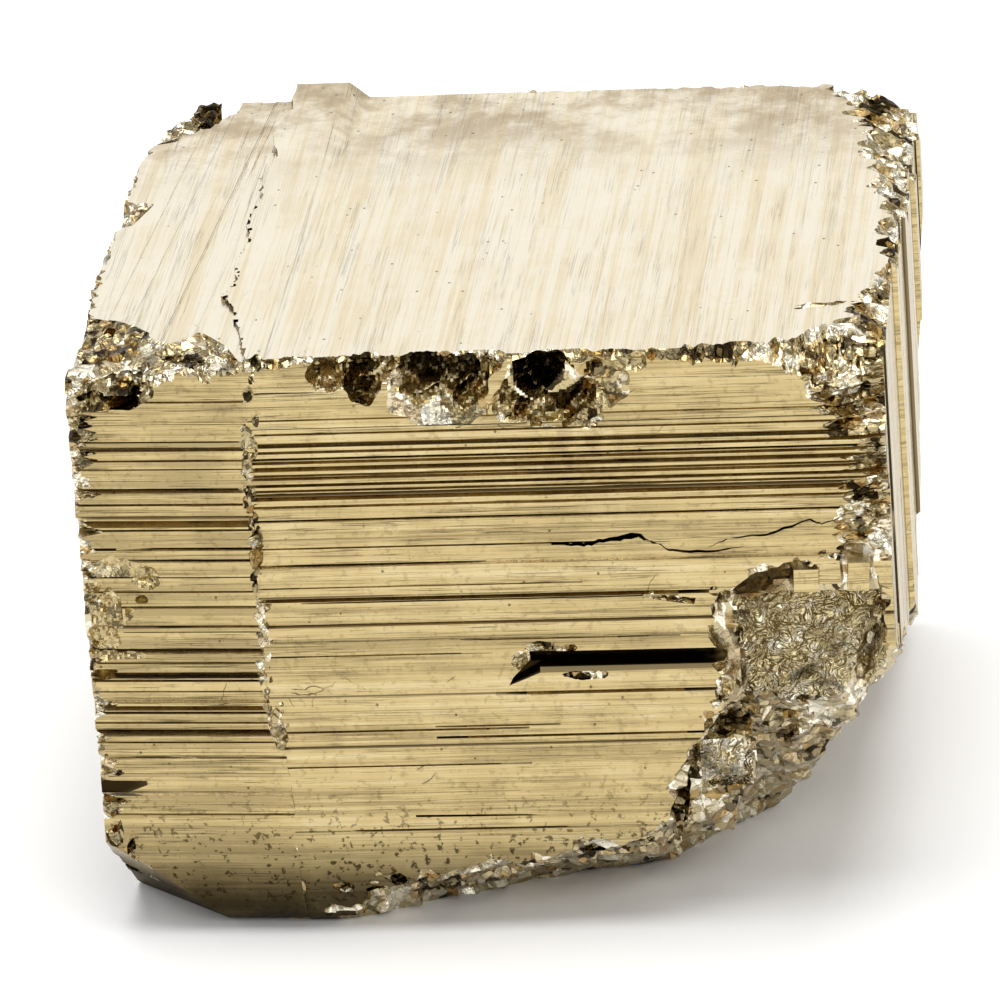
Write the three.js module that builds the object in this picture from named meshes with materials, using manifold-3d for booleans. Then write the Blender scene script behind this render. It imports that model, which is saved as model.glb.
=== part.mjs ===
// A hand-size pyrite specimen: two cubic crystals grown together, striated, chipped and broken at one corner.
// Millimetres, +Z up. The block is modelled with its lower left front corner near zero, x along the front face,
// y into the depth and z up from the flat underside, and is then centred over the origin.

import * as THREE from "three";
import { ConvexGeometry } from "three/addons/geometries/ConvexGeometry.js";
import { mergeVertices } from "three/addons/utils/BufferGeometryUtils.js";
import Module from "manifold-3d";

const wasm = await Module();
wasm.setup();

// Driving dimensions of the block
const WIDTH = 50.5;
const DEPTH = 46.5;
const HEIGHT = 38.7;
const HUMP_HEIGHT = 1.1;
const LEFT_TOP = HEIGHT - 0.3;
const LEFT_YAW = THREE.MathUtils.degToRad(-2.9);
const LEFT_PIVOT_X = 11.4;
const SLAB = 2.5;
const OVER = 2;
const RISER = 0.12;

// Heights of the ledges on the two front faces, from the underside up, and how far each one stands back
const LEFT_LEDGES = [
  [5.6, 0.1], [8.3, 0.2], [9.7, 0.05], [10.9, 0.3], [12.2, 0.12], [13.4, 0.3], [13.9, 0.05], [15.4, 0.34],
  [16.0, 0.1], [17.5, 0.4], [17.9, 0.12], [18.9, 0.28], [19.4, 0.1], [20.7, 0.35], [21.2, 0.15], [22.4, 0.05],
  [24.4, 0.25], [25.5, 0.1], [26.2, 0.3], [27.6, 0.5], [28.4, 0.1], [29.8, 0.3], [30.2, 0.06], [31.6, 0.22],
  [32.9, 0.1], [34.6, 0.2], [36.2, 0.05],
];
const RIGHT_LEDGES = [
  [7.1, 0.12], [8.1, 0.3], [10.5, 0.1], [11.5, 0.22], [12.8, 0.1], [13.4, 0.34], [15.3, 0.15], [16.3, 0.05],
  [19.2, 0.3], [20.0, 0.1], [21.0, 0.22], [22.6, 0.38], [23.0, 0.08], [25.0, 0.24], [26.2, 0.4], [26.8, 0.12],
  [28.0, 0.26], [29.2, 0.42], [29.8, 0.1], [30.5, 0.34], [31.4, 0.14], [32.1, 0.28], [32.7, 0.4], [33.2, 0.05],
  [34.2, 0.2], [35.2, 0.04],
];

// The line where the two crystals meet, on the front face as [x, z] and on the top as [x, y]
const FRONT_SEAM = [
  [12.3, -OVER], [12.3, 7.8], [12.0, 12.6], [11.6, 13.8], [11.5, 15.2], [10.9, 17.0], [11.3, 19.6], [11.1, 23.0],
  [11.3, 26.4], [11.0, 30.0], [11.2, 33.0], [11.5, 35.6], [11.4, HEIGHT + OVER],
];
const TOP_SEAM = [
  [11.3, -OVER], [10.9, 3.0], [9.8, 8.8], [8.8, 11.2], [9.4, 14.0], [8.8, 17.3], [9.3, 21.0], [8.7, 24.6],
  [9.2, 28.0], [8.9, 30.4], [9.4, 34.0], [8.9, 37.6], [9.6, 42.0], [9.3, DEPTH + OVER],
];

// Outline of the broken lower right corner on the front face, as [x, z], and how far its floor stands back
const BROKEN_EDGE = [
  [49.2, 25.2], [47.9, 25.7], [46.4, 24.8], [43.3, 24.0], [40.8, 23.6], [39.2, 22.3], [38.4, 19.6],
  [39.6, 18.3], [40.1, 16.2], [39.2, 14.2], [43, 12.4], [53, 12.4], [53, 17.6], [49.6, 18.8], [49.4, 22.0],
];
const BLOCK_SETBACK = 2.2;

// Seeded random numbers, so that the specimen is the same in every run
let seed = 41;
function random(low, high) {
  seed = (seed * 1664525 + 1013904223) % 4294967296;
  return low + (high - low) * (seed / 4294967296);
}

function solid(geometry) {
  const bare = geometry.clone();
  bare.deleteAttribute("normal");
  bare.deleteAttribute("uv");
  const merged = mergeVertices(bare, 1e-5);
  return new wasm.Manifold(new wasm.Mesh({
    numProp: 3,
    vertProperties: new Float32Array(merged.attributes.position.array),
    triVerts: new Uint32Array(merged.index.array),
  }));
}

function outline(points) {
  return new THREE.Shape(points.map(([a, b]) => new THREE.Vector2(a, b)));
}

// A prism along x from an outline in y and z
function prismX(points, start, end) {
  const shape = new THREE.ExtrudeGeometry(outline(points), { depth: end - start, bevelEnabled: false });
  const basis = new THREE.Matrix4().set(0, 0, 1, start, 1, 0, 0, 0, 0, 1, 0, 0, 0, 0, 0, 1);
  return shape.applyMatrix4(basis);
}

// A prism along y from an outline in x and z
function prismY(points, start, end) {
  const shape = new THREE.ExtrudeGeometry(outline(points), { depth: end - start, bevelEnabled: false });
  const basis = new THREE.Matrix4().set(1, 0, 0, 0, 0, 0, -1, end, 0, 1, 0, 0, 0, 0, 0, 1);
  return shape.applyMatrix4(basis);
}

// A prism along z from an outline in x and y
function prismZ(points, start, end) {
  const shape = new THREE.ExtrudeGeometry(outline(points), { depth: end - start, bevelEnabled: false });
  return shape.translate(0, 0, start);
}

// A line of ledges: [place along the face, how far it stands back], each with a short slanted riser
function ledgeLine(ledges, from, to) {
  const line = [[from, ledges[0][1]]];
  ledges.forEach(([place], index) => {
    const before = line[line.length - 1][1];
    const after = ledges[Math.min(index + 1, ledges.length - 1)][1];
    line.push([place - RISER / 2, before], [place + RISER / 2, after]);
  });
  line.push([to, line[line.length - 1][1]]);
  return line;
}

// Ledges at even but jittered places, for the faces that the main view does not show
function randomLedges(length, count, depth) {
  const pitch = length / (count + 1);
  const ledges = [];
  for (let i = 1; i <= count; i += 1) {
    ledges.push([i * pitch + random(-0.3, 0.3) * pitch, random(0, depth)]);
  }
  return ledges;
}

// Profile in y and z: ledges on the front and the back, flat underside and top
function sideProfile(frontLedges, backLedges, top, toe) {
  const front = ledgeLine(frontLedges, frontLedges[0][0] - 0.6, top + OVER).map(([z, back]) => [back, z]);
  const back = ledgeLine(backLedges, 0, top + OVER).map(([z, inset]) => [DEPTH - inset, z]).reverse();
  return [...toe, ...front, ...back];
}

// Plan in x and y: upright ledges on the left and right faces, cut off square at the back
function planOutline(left, right, leftLedges, rightLedges) {
  const rightLine = ledgeLine(rightLedges, -OVER, DEPTH).map(([y, inset]) => [right - inset, y]);
  const leftLine = ledgeLine(leftLedges, -OVER, DEPTH).map(([y, inset]) => [left + inset, y]).reverse();
  return [...rightLine, ...leftLine];
}

// Front view in x and z: low ledges along y on the top, flat underside
function topOutline(left, right, top, ledges) {
  const line = ledgeLine(ledges, left, right).map(([x, drop]) => [x, top - drop]).reverse();
  return [[left, 0], [right, 0], ...line];
}

// The left crystal turns about the seam, so that its outer end stands back
function yawLeft(geometry) {
  geometry.translate(-LEFT_PIVOT_X, 0, 0);
  geometry.rotateZ(LEFT_YAW);
  return geometry.translate(LEFT_PIVOT_X, 0, 0);
}

function leftCrystal() {
  const toe = [[3.0, 0], [1.9, 0.5], [1.0, 1.4], [0.45, 2.6], [0.15, 4.0]];
  const backLedges = randomLedges(HEIGHT, 14, 0.5);
  const side = solid(yawLeft(prismX(sideProfile(LEFT_LEDGES, backLedges, HEIGHT, toe), -OVER, 16)));
  const leftLedges = [[3.2, 0.1], [6.0, 0.4], [10.4, 0.55], [13.0, 0.35], [16.6, 0.2], [20.1, 0.0], [24.4, 0.2],
    [27.6, 0.05], [33.0, 0.0], [36.4, 0.15], [40.2, 0.4], [43.0, 0.6], [45.0, 0.8]];
  const plan = solid(prismZ(planOutline(0, 16, leftLedges, [[20, 0], [30, 0]]), 0, HEIGHT + OVER));
  const topLedges = [[1.6, 0.25], [3.1, 0.08], [4.6, 0.0], [5.5, 0.16], [6.1, 0.02], [7.4, 0.14], [8.6, 0.0]];
  const top = solid(yawLeft(prismY(topOutline(-3, 20, LEFT_TOP, topLedges), -OVER * 2, DEPTH + OVER * 2)));
  return side.intersect(plan).intersect(top);
}

function rightCrystal() {
  const toe = [[2.4, 0], [1.2, 1.2], [0.3, 4.0]];
  const backLedges = randomLedges(HEIGHT, 18, 0.6);
  const side = solid(prismX(sideProfile(RIGHT_LEDGES, backLedges, HEIGHT, toe), 6, WIDTH + OVER));
  const rightLedges = randomLedges(DEPTH, 22, 0.4);
  const plan = solid(prismZ(planOutline(6, WIDTH, [[20, 0], [30, 0]], rightLedges), 0, HEIGHT + OVER));
  const topLedges = [[9.5, 0.0], [12.9, 0.12], [13.6, 0.02], [19.0, 0.05], [27.0, 0.0], [34.5, 0.06], [40.2, 0.0],
    [42.6, 0.1], [44.0, 0.02], [46.2, 0.12]];
  const top = solid(prismY(topOutline(5, WIDTH + OVER, HEIGHT, topLedges), -OVER, DEPTH + OVER));
  return side.intersect(plan).intersect(top);
}

// Everything on the left crystal's side of the seam
function leftSide() {
  const topPart = solid(prismZ([...TOP_SEAM, [-9, DEPTH + OVER], [-9, -OVER]], -OVER, HEIGHT + OVER));
  const slabBox = new THREE.BoxGeometry(60, SLAB + OVER, HEIGHT + 4 * OVER);
  slabBox.translate(20, (SLAB - OVER) / 2, HEIGHT / 2);
  const frontPart = solid(prismY([...FRONT_SEAM, [-9, HEIGHT + OVER], [-9, -OVER]], -OVER, SLAB));
  return topPart.subtract(solid(slabBox)).add(frontPart);
}

// A rough many-sided lump around a centre, used to add material or to chip it away
function lump(center, size, corners = 9) {
  const points = [];
  for (let i = 0; i < corners; i += 1) {
    const lift = 1 - (2 * (i + 0.5)) / corners;
    const turn = i * 2.399963 + random(-0.5, 0.5);
    const ring = Math.sqrt(1 - lift * lift);
    const reach = random(0.75, 1.2);
    points.push(new THREE.Vector3(
      center[0] + size[0] * reach * ring * Math.cos(turn),
      center[1] + size[1] * reach * ring * Math.sin(turn),
      center[2] + size[2] * reach * lift,
    ));
  }
  return solid(new ConvexGeometry(points));
}

// Lumps along a line, spread about it, each longer along the line than across it
function lumpRow(from, to, count, small, large, spread, corners = 8) {
  const along = to.map((value, axis) => Math.abs(value - from[axis]));
  const main = along.indexOf(Math.max(...along));
  const row = [];
  for (let i = 0; i < count; i += 1) {
    const share = (i + random(0.1, 0.9)) / count;
    const reach = random(small, large);
    const center = from.map((value, axis) => value + (to[axis] - value) * share + random(-spread, spread));
    const size = [0, 1, 2].map((axis) => reach * (axis === main ? random(1.0, 1.7) : random(0.6, 1.0)));
    row.push(lump(center, size, corners));
  }
  return row;
}

// A rounded hollow such as a shell-like fracture leaves
function scoop(center, size, detail = 2) {
  const ball = new THREE.IcosahedronGeometry(1, detail);
  ball.scale(...size);
  ball.translate(...center);
  return solid(ball);
}

function hull(points) {
  return solid(new ConvexGeometry(points.map((point) => new THREE.Vector3(...point))));
}

function join(solids) {
  return solids.reduce((whole, next) => whole.add(next));
}

function ridgeLumps() {
  const lumps = [];
  for (let i = 2; i < FRONT_SEAM.length - 1; i += 1) {
    const [x0, z0] = FRONT_SEAM[i];
    const [x1, z1] = [FRONT_SEAM[i + 1][0], Math.min(FRONT_SEAM[i + 1][1], HEIGHT - 0.6)];
    lumps.push(...lumpRow([x0, 0.5, z0], [x1, 0.5, z1], 3, 0.45, 0.75, 0.12));
  }
  return lumps;
}

// The raised strip that runs in from the back edge of the top and dies out
function hump() {
  const crest = HEIGHT + HUMP_HEIGHT;
  const foot = HEIGHT - 3;
  return hull([
    [4.4, DEPTH - 0.2, crest - 1.2], [6.0, DEPTH - 0.1, crest - 0.4], [8.2, DEPTH, crest - 0.05],
    [12.0, DEPTH, crest], [13.4, DEPTH - 0.2, crest - 0.5], [14.4, DEPTH - 0.3, crest - 1.2],
    [12.8, 24, HEIGHT - 0.05], [9.8, 22, HEIGHT - 0.05], [7.0, 40, crest - 0.75], [12.2, 40, crest - 0.3],
    [4.4, DEPTH - 0.2, foot], [14.4, DEPTH - 0.3, foot], [12.8, 24, foot], [9.8, 22, foot],
  ]);
}

// Shell-like hollows under the front top edge
function scoops() {
  return [
    scoop([16.2, -0.5, 38.3], [1.5, 1.5, 2.2]),
    scoop([18.8, -0.6, 38.2], [1.35, 1.7, 2.4]),
    scoop([22.4, -0.9, 38.6], [2.4, 2.6, 3.2]),
    scoop([24.8, -0.6, 38.7], [1.9, 1.9, 3.0]),
    scoop([22.8, -2.4, 36.6], [3.6, 2.9, 2.9]),
    scoop([29.6, -0.8, 37.6], [2.5, 2.9, 2.3]),
    scoop([28.8, -0.9, 35.2], [2.0, 1.6, 1.1]),
    scoop([29.6, -3.2, 35.8], [3.4, 3.6, 2.8]),
    scoop([34.0, -1.5, 37.4], [1.9, 2.0, 2.6]),
    scoop([3.9, -1.2, 37.2], [2.4, 2.2, 2.2]),
    scoop([3.6, -0.4, 36.1], [1.1, 1.3, 0.6]),
    scoop([1.4, 0.1, 21.8], [1.4, 1.1, 4.4]),
    scoop([3.6, 0.0, 24.2], [1.5, 1.0, 2.2]),
  ];
}

// Slanted slots and wedges between the ledges of the front
function slots() {
  return [
    solid(prismX([[-1, 16.2], [0.05, 16.3], [0.2, 17.95], [1.5, 18.15], [1.4, 18.9], [-1, 19.1]], 27.6, 39.9)),
    hull([[25.4, -1, 15.8], [28.2, -1, 17.0], [28.2, 1.0, 18.0], [28.2, 1.0, 18.8], [28.2, -1, 19.0],
      [26.2, -1, 17.4], [26.6, 0.7, 17.2]]),
    hull([[-1, -1, 9.7], [6.4, 0.2, 9.75], [-1, 1.2, 9.8], [-1, 1.2, 10.6], [5.4, 0.5, 10.55], [5.4, -1, 10.6],
      [-1, -1, 10.6], [6.4, -1, 9.7]]),
    hull([[19.8, -1, 7.9], [30.6, -1, 7.8], [19.8, 0.9, 8.0], [27.0, 0.6, 7.95], [19.8, -1, 8.3], [26.0, -1, 8.2]]),
    hull([[32.0, -1, 22.0], [38.2, -1, 21.4], [32.4, -1, 23.0], [38.6, -1, 22.8], [34.4, 0.7, 22.7],
      [37.8, 0.8, 22.4]]),
  ];
}

// The broken lower right corner: a set-back floor above, and slanted breaks below and beside it
function brokenCorner() {
  const recess = solid(prismY(BROKEN_EDGE, -OVER, BLOCK_SETBACK));
  const slit = hull([[49.0, -1, 21.6], [49.5, -1, 20.8], [49.2, 6, 20.8], [46.4, -1, 13.8], [48.2, -1, 12.8],
    [47.2, 6, 13.6], [48.9, 6, 19.4], [47.6, 6, 16.4]]);
  const flank = hull([[50.7, 47.5, 38.2], [50.7, 31, 20.7], [50.2, 20, 13.5], [48.9, 47.5, 22], [48.3, 47.5, 6],
    [53, 47.5, 38.2], [53, 20, 13.5], [53, 47.5, 6], [49.6, 20, 8]]);
  const gap = hull([[39.8, 0, 22.6], [43.8, 0, 23.9], [43.8, 0, 22.0], [40.0, 0, 21.3], [40.6, 5.6, 22.4],
    [43.6, 5.2, 23.4], [43.8, 4.8, 22.2], [40.6, 5.2, 21.7]]);
  const under = hull([[37.2, -1, 13.2], [39.4, -1, 16.4], [53, -1, 14.6], [40.3, BLOCK_SETBACK, 15.2],
    [48.0, BLOCK_SETBACK, 13.9], [53, BLOCK_SETBACK, 14.6], [34.6, 11.6, -1], [40.2, 18.5, -1], [53, 18.5, -1],
    [53, -1, -1], [34.4, -1, 5.6], [33.8, -1, -1]]);
  const side = hull([[51.5, -1, 20.6], [51.5, 50, 7.8], [46.6, -1, 13.4], [38.2, 8, -1], [45.6, 50, -1],
    [60, -1, 20.6], [60, 50, 7.8], [60, -1, -1], [60, 50, -1]]);
  const toe = hull([[13.2, -1, 3.0], [19.0, -1, 4.6], [23.0, -1, 5.4], [30.4, -1, 5.6], [36.0, -1, 7.6],
    [36.0, 11.8, -1], [31.0, 10.6, -1], [27.2, 8.8, -1], [22.6, 4.6, -1], [13.4, 2.9, -1],
    [13.4, -1, -1], [36.0, -1, -1]]);
  const heel = hull([[-1, -1, 8.6], [-1, 11, -1], [0.5, -1, 7.4], [3.2, -1, 2.6], [8.0, -1, 0.9], [7.8, 2.8, -0.4],
    [4.6, 4.6, -0.4], [2.0, 6.6, -0.3], [-1, -1, -1], [8.0, -1, -1]]);
  return [recess, slit, flank, gap, under, side, toe, heel];
}

// Small cubic blocks that stand in the broken corner, each turned a little
function brokenBlocks() {
  const places = [
    [[38.8, 3.2, 10.8], [3.0, 3.6, 3.2], 6], [[43.4, 6.6, 10.0], [3.4, 4.0, 3.0], -14],
    [[36.6, 5.4, 6.2], [2.8, 4.0, 3.0], 18], [[41.0, 10.2, 5.6], [3.6, 4.0, 4.2], -16],
    [[46.0, 7.6, 13.2], [3.2, 5.0, 3.0], 9], [[37.0, 10.6, 2.6], [3.4, 3.4, 3.2], 20],
    [[31.8, 4.4, 4.0], [3.4, 3.0, 2.6], -15], [[26.6, 3.9, 2.9], [3.2, 2.8, 2.4], 12],
    [[47.9, 4.4, 21.6], [1.6, 4.2, 3.0], 3],
  ];
  return places.map(([center, size, turn]) => {
    const box = new THREE.BoxGeometry(...size);
    box.rotateZ(THREE.MathUtils.degToRad(turn));
    box.rotateX(THREE.MathUtils.degToRad(turn * 1.5));
    return solid(box.translate(...center));
  });
}

// Chips that break up the slanted surfaces of the broken corner
function cornerChips() {
  return [
    ...lumpRow([38.4, -0.2, 13.0], [39.6, -0.2, 18.4], 5, 0.5, 0.9, 0.3),
    ...lumpRow([39.2, 0.4, 22.6], [47.4, 0.4, 25.2], 8, 0.5, 1.0, 0.35),
    ...lumpRow([37.2, 2.2, 9.0], [47.6, 3.2, 13.4], 8, 0.7, 1.4, 0.9),
    ...lumpRow([36.4, 5.4, 5.4], [44.8, 12.4, 7.2], 8, 0.8, 1.6, 1.2),
    ...lumpRow([14.0, 0.4, 3.2], [35.0, 1.2, 6.2], 16, 0.5, 1.2, 0.6),
    ...lumpRow([20.0, 2.8, 2.0], [36.0, 8.0, 2.0], 9, 0.7, 1.3, 0.8),
    ...lumpRow([49.2, 3.0, 18.6], [49.8, 40, 9.6], 9, 0.8, 1.6, 0.8),
    ...lumpRow([45.4, 14.0, 7.0], [46.8, 42.0, 4.4], 8, 0.9, 1.8, 1.2),
  ];
}

// Chips along the worn edges
function edgeChips() {
  const t = HEIGHT + 0.25;
  const back = DEPTH + 0.25;
  return [
    ...lumpRow([1.0, -0.1, t], [14.8, -0.25, t], 14, 0.45, 0.95, 0.15),
    ...lumpRow([14.6, -0.25, t], [44.0, -0.25, t], 24, 0.35, 0.8, 0.12),
    ...lumpRow([43.6, 0.6, t - 0.4], [50.4, 3.6, t - 0.6], 6, 1.1, 1.9, 0.5),
    ...lumpRow([45.6, 0.3, 36.6], [49.8, 0.5, 34.6], 5, 0.9, 1.5, 0.4),
    ...lumpRow([50.2, -0.1, 36.4], [50.2, -0.1, 26.4], 11, 0.9, 1.7, 0.35),
    ...lumpRow([50.2, 5.0, t - 0.1], [50.0, 26.0, t - 0.1], 12, 0.9, 1.7, 0.35),
    ...lumpRow([50.0, 26.0, t - 0.2], [48.4, 45.6, t - 0.2], 11, 1.6, 2.6, 0.5),
    ...lumpRow([44.6, 6.6, t - 0.1], [48.4, 7.4, t - 0.1], 4, 0.5, 0.8, 0.2),
    ...lumpRow([0.4, 0.4, 36.8], [0.3, 0.4, 11.0], 16, 0.6, 1.2, 0.25),
    ...lumpRow([-0.1, 3.0, t - 0.3], [-0.1, 22.0, t - 0.3], 12, 0.6, 1.1, 0.3),
    ...lumpRow([0.0, 30.0, t - 0.2], [0.0, 40.0, t - 0.2], 6, 0.6, 1.0, 0.25),
    ...lumpRow([0.6, 41.4, t - 0.8], [3.6, back - 0.6, t - 0.8], 6, 1.6, 2.6, 0.7),
    ...lumpRow([14.0, back, t], [47.0, back, t], 18, 0.4, 0.9, 0.15),
    ...lumpRow([0.2, back, 36], [0.2, back, 2], 12, 0.7, 1.4, 0.3),
    ...lumpRow([50.4, back, 37], [50.4, back, 9], 10, 0.8, 1.7, 0.3),
    ...lumpRow([2.0, back, 0.0], [44.0, back, 0.0], 14, 0.6, 1.2, 0.2),
    ...lumpRow([0.0, 9.0, 0.0], [0.0, 44.0, 0.0], 12, 0.6, 1.2, 0.2),
    hull([[-1, 23.2, t], [-1, 29.6, t], [3.0, 28.6, t], [2.0, 24.6, t], [-1, 25.0, t - 2.4], [-1, 28.0, t - 2.8]]),
    hull([[-1, 4.2, t], [10.4, 4.4, t], [9.4, 7.6, t], [2.0, 9.8, t], [-1, 9.6, t], [1.6, 5.4, t - 0.9],
      [7.6, 5.6, t - 0.75]]),
  ];
}

function specimen() {
  const left = leftCrystal();
  const right = rightCrystal();
  const seamSide = leftSide();
  const grown = left.intersect(seamSide).add(right.subtract(seamSide)).add(left.intersect(right));
  const raised = grown.add(hump()).add(join(ridgeLumps()));
  const broken = raised.subtract(join(brokenCorner())).add(join(brokenBlocks()).intersect(right));
  return broken.subtract(join([...scoops(), ...slots(), ...cornerChips(), ...edgeChips()]));
}

// The largest closed body: crumbs that the cuts leave loose are dropped
function largest(whole) {
  const parts = whole.decompose();
  return parts.reduce((best, next) => (next.volume() > best.volume() ? next : best));
}

function geometryOf(shape) {
  const mesh = shape.getMesh();
  const geometry = new THREE.BufferGeometry();
  geometry.setAttribute("position", new THREE.BufferAttribute(mesh.vertProperties, 3));
  geometry.setIndex(new THREE.BufferAttribute(mesh.triVerts, 1));
  geometry.computeVertexNormals();
  return geometry;
}

const pyrite = new THREE.MeshStandardMaterial({ color: 0xc4b48c, roughness: 0.32, metalness: 1.0 });
const crystal = new THREE.Mesh(geometryOf(largest(specimen())), pyrite);
crystal.name = "pyrite_crystal";
crystal.position.set(-WIDTH / 2, -DEPTH / 2, 0);

const specimenGroup = new THREE.Group();
specimenGroup.add(crystal);

export default specimenGroup;
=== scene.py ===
"""Looks of a pyrite specimen: two cubic crystals grown together, striated, chipped and broken at one corner.

The shapes are worked out in bench millimetres: x along the front face from its left corner, y into the depth and
z up from the flat underside. The finished mesh is then moved to the frame's origin and scaled to metres.
"""

from __future__ import annotations

import logging
import math
import random
from dataclasses import dataclass, field
from enum import Enum

import bmesh
import bpy
import numpy as np
from mathutils import Euler, Matrix, Vector
from mathutils.kdtree import KDTree

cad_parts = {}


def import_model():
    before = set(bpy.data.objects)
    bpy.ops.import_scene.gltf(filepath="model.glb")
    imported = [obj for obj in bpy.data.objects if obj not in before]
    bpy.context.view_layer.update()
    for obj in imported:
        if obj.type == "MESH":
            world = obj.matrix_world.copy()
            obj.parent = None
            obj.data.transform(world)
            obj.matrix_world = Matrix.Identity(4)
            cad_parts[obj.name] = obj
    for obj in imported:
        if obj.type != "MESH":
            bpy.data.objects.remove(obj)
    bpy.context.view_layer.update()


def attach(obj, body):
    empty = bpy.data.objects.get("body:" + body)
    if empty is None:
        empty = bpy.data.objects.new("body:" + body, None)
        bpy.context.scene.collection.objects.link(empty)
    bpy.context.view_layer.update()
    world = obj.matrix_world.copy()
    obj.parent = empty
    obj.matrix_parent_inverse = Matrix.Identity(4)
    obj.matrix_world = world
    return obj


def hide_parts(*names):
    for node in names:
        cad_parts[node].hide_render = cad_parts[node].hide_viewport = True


LOG = logging.getLogger("pyrite")

NODE = "pyrite_crystal"
BODY = "root"

# Driving dimensions of the block, in millimetres
WIDTH = 50.5
DEPTH = 46.5
HEIGHT = 38.7
HUMP_HEIGHT = 1.1
LEFT_TOP = HEIGHT - 0.3
LEFT_YAW = math.radians(-2.9)
LEFT_PIVOT_X = 11.4
SLAB = 2.5
OVER = 2.0
RISER = 0.1
BLOCK_SETBACK = 2.2
MM = 0.001

Point = tuple[float, float, float]
Pair = tuple[float, float]


class Axis(Enum):
    """The direction that a prism runs in."""

    X = 0
    Y = 1
    Z = 2


class Operation(Enum):
    """How one solid changes another."""

    JOIN = "UNION"
    CUT = "DIFFERENCE"
    KEEP = "INTERSECT"


class Surface(Enum):
    """What a face of the finished crystal is, in the order of its material slots."""

    CRYSTAL = 0
    RISER = 1
    BROKEN = 2
    SHELL = 3
    ETCHED = 4
    RUBBLE = 5
    MELT = 6


@dataclass
class Shell:
    """One or more closed surfaces.

    Args:
        vertices: corner points, in millimetres.
        faces: corner numbers of each face, seen from outside counter-clockwise.
    """

    vertices: np.ndarray
    faces: list[tuple[int, ...]]

    def low(self) -> np.ndarray:
        """Returns the lowest corner of the shell's box."""
        return self.vertices.min(axis=0)

    def high(self) -> np.ndarray:
        """Returns the highest corner of the shell's box."""
        return self.vertices.max(axis=0)

    def turned(self, angle: float, pivot_x: float) -> Shell:
        """Returns the shell turned about an upright line at y = 0.

        Args:
            angle: the turn, in radians.
            pivot_x: where the line stands along x.
        """
        moved = self.vertices - (pivot_x, 0, 0)
        c, s = math.cos(angle), math.sin(angle)
        turned = np.column_stack((moved[:, 0] * c - moved[:, 1] * s, moved[:, 0] * s + moved[:, 1] * c, moved[:, 2]))
        return Shell(turned + (pivot_x, 0, 0), self.faces)


def merged(shells: list[Shell]) -> Shell:
    """Puts several shells that stay clear of each other into one.

    Args:
        shells: the shells.

    Returns:
        One shell with all their faces.
    """
    faces: list[tuple[int, ...]] = []
    start = 0
    for shell in shells:
        faces.extend(tuple(corner + start for corner in face) for face in shell.faces)
        start += len(shell.vertices)
    return Shell(np.vstack([shell.vertices for shell in shells]), faces)


def batches(shells: list[Shell]) -> list[Shell]:
    """Groups shells so that no two in a group touch.

    Args:
        shells: shells in any order.

    Returns:
        One merged shell for each group.
    """
    groups: list[list[Shell]] = []
    for shell in shells:
        low, high = shell.low(), shell.high()
        for group in groups:
            if all(np.any(low > other.high()) or np.any(high < other.low()) for other in group):
                group.append(shell)
                break
        else:
            groups.append([shell])
    return [merged(group) for group in groups]


def mark(mesh: bpy.types.Mesh, surface: Surface) -> None:
    """Gives every face of a mesh one kind of surface.

    Args:
        mesh: the mesh.
        surface: the kind.
    """
    mesh.materials.clear()
    for _ in Surface:
        mesh.materials.append(None)
    mesh.polygons.foreach_set("material_index", [surface.value] * len(mesh.polygons))


class Solid:
    """A closed mesh that other solids are joined to or cut from."""

    def __init__(self, name: str, shell: Shell, surface: Surface = Surface.BROKEN) -> None:
        """Makes the solid's object.

        Args:
            name: the object's name.
            shell: its surface.
            surface: what all of its faces are.
        """
        self.item = self._object(name, shell, surface)

    @staticmethod
    def _object(name: str, shell: Shell, surface: Surface) -> bpy.types.Object:
        """Returns a linked mesh object of the shell."""
        mesh = bpy.data.meshes.new(name)
        mesh.from_pydata(shell.vertices.tolist(), [], shell.faces)
        mark(mesh, surface)
        item = bpy.data.objects.new(name, mesh)
        bpy.context.scene.collection.objects.link(item)
        return item

    def change(self, operation: Operation, other: bpy.types.Object) -> None:
        """Runs one boolean with another object and keeps its result.

        Args:
            operation: join, cut or keep.
            other: the object of the other solid.
        """
        step = self.item.modifiers.new("step", "BOOLEAN")
        step.solver = "MANIFOLD"
        step.operation = operation.value
        step.object = other
        graph = bpy.context.evaluated_depsgraph_get()
        before = self.item.data
        result = bpy.data.meshes.new_from_object(self.item.evaluated_get(graph))
        self.item.modifiers.clear()
        self.item.data = result
        bpy.data.meshes.remove(before)

    def apply(self, operation: Operation, shells: list[Shell], surface: Surface = Surface.BROKEN) -> Solid:
        """Joins or cuts many shells, as few at a time as their overlaps allow.

        Args:
            operation: join, cut or keep.
            shells: the other shells.
            surface: what the faces that they leave are.

        Returns:
            This solid.
        """
        for group in batches(shells):
            other = Solid("other", group, surface)
            self.change(operation, other.item)
            other.discard()
        return self

    def with_solid(self, operation: Operation, other: Solid) -> Solid:
        """Joins or cuts another solid, which stays as it is, and returns this one."""
        self.change(operation, other.item)
        return self

    def copy(self) -> Solid:
        """Returns a solid of its own with the same surface."""
        twin = Solid.__new__(Solid)
        twin.item = self.item.copy()
        twin.item.data = self.item.data.copy()
        bpy.context.scene.collection.objects.link(twin.item)
        return twin

    def discard(self) -> None:
        """Deletes the solid's object and mesh."""
        mesh = self.item.data
        bpy.data.objects.remove(self.item)
        bpy.data.meshes.remove(mesh)


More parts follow.
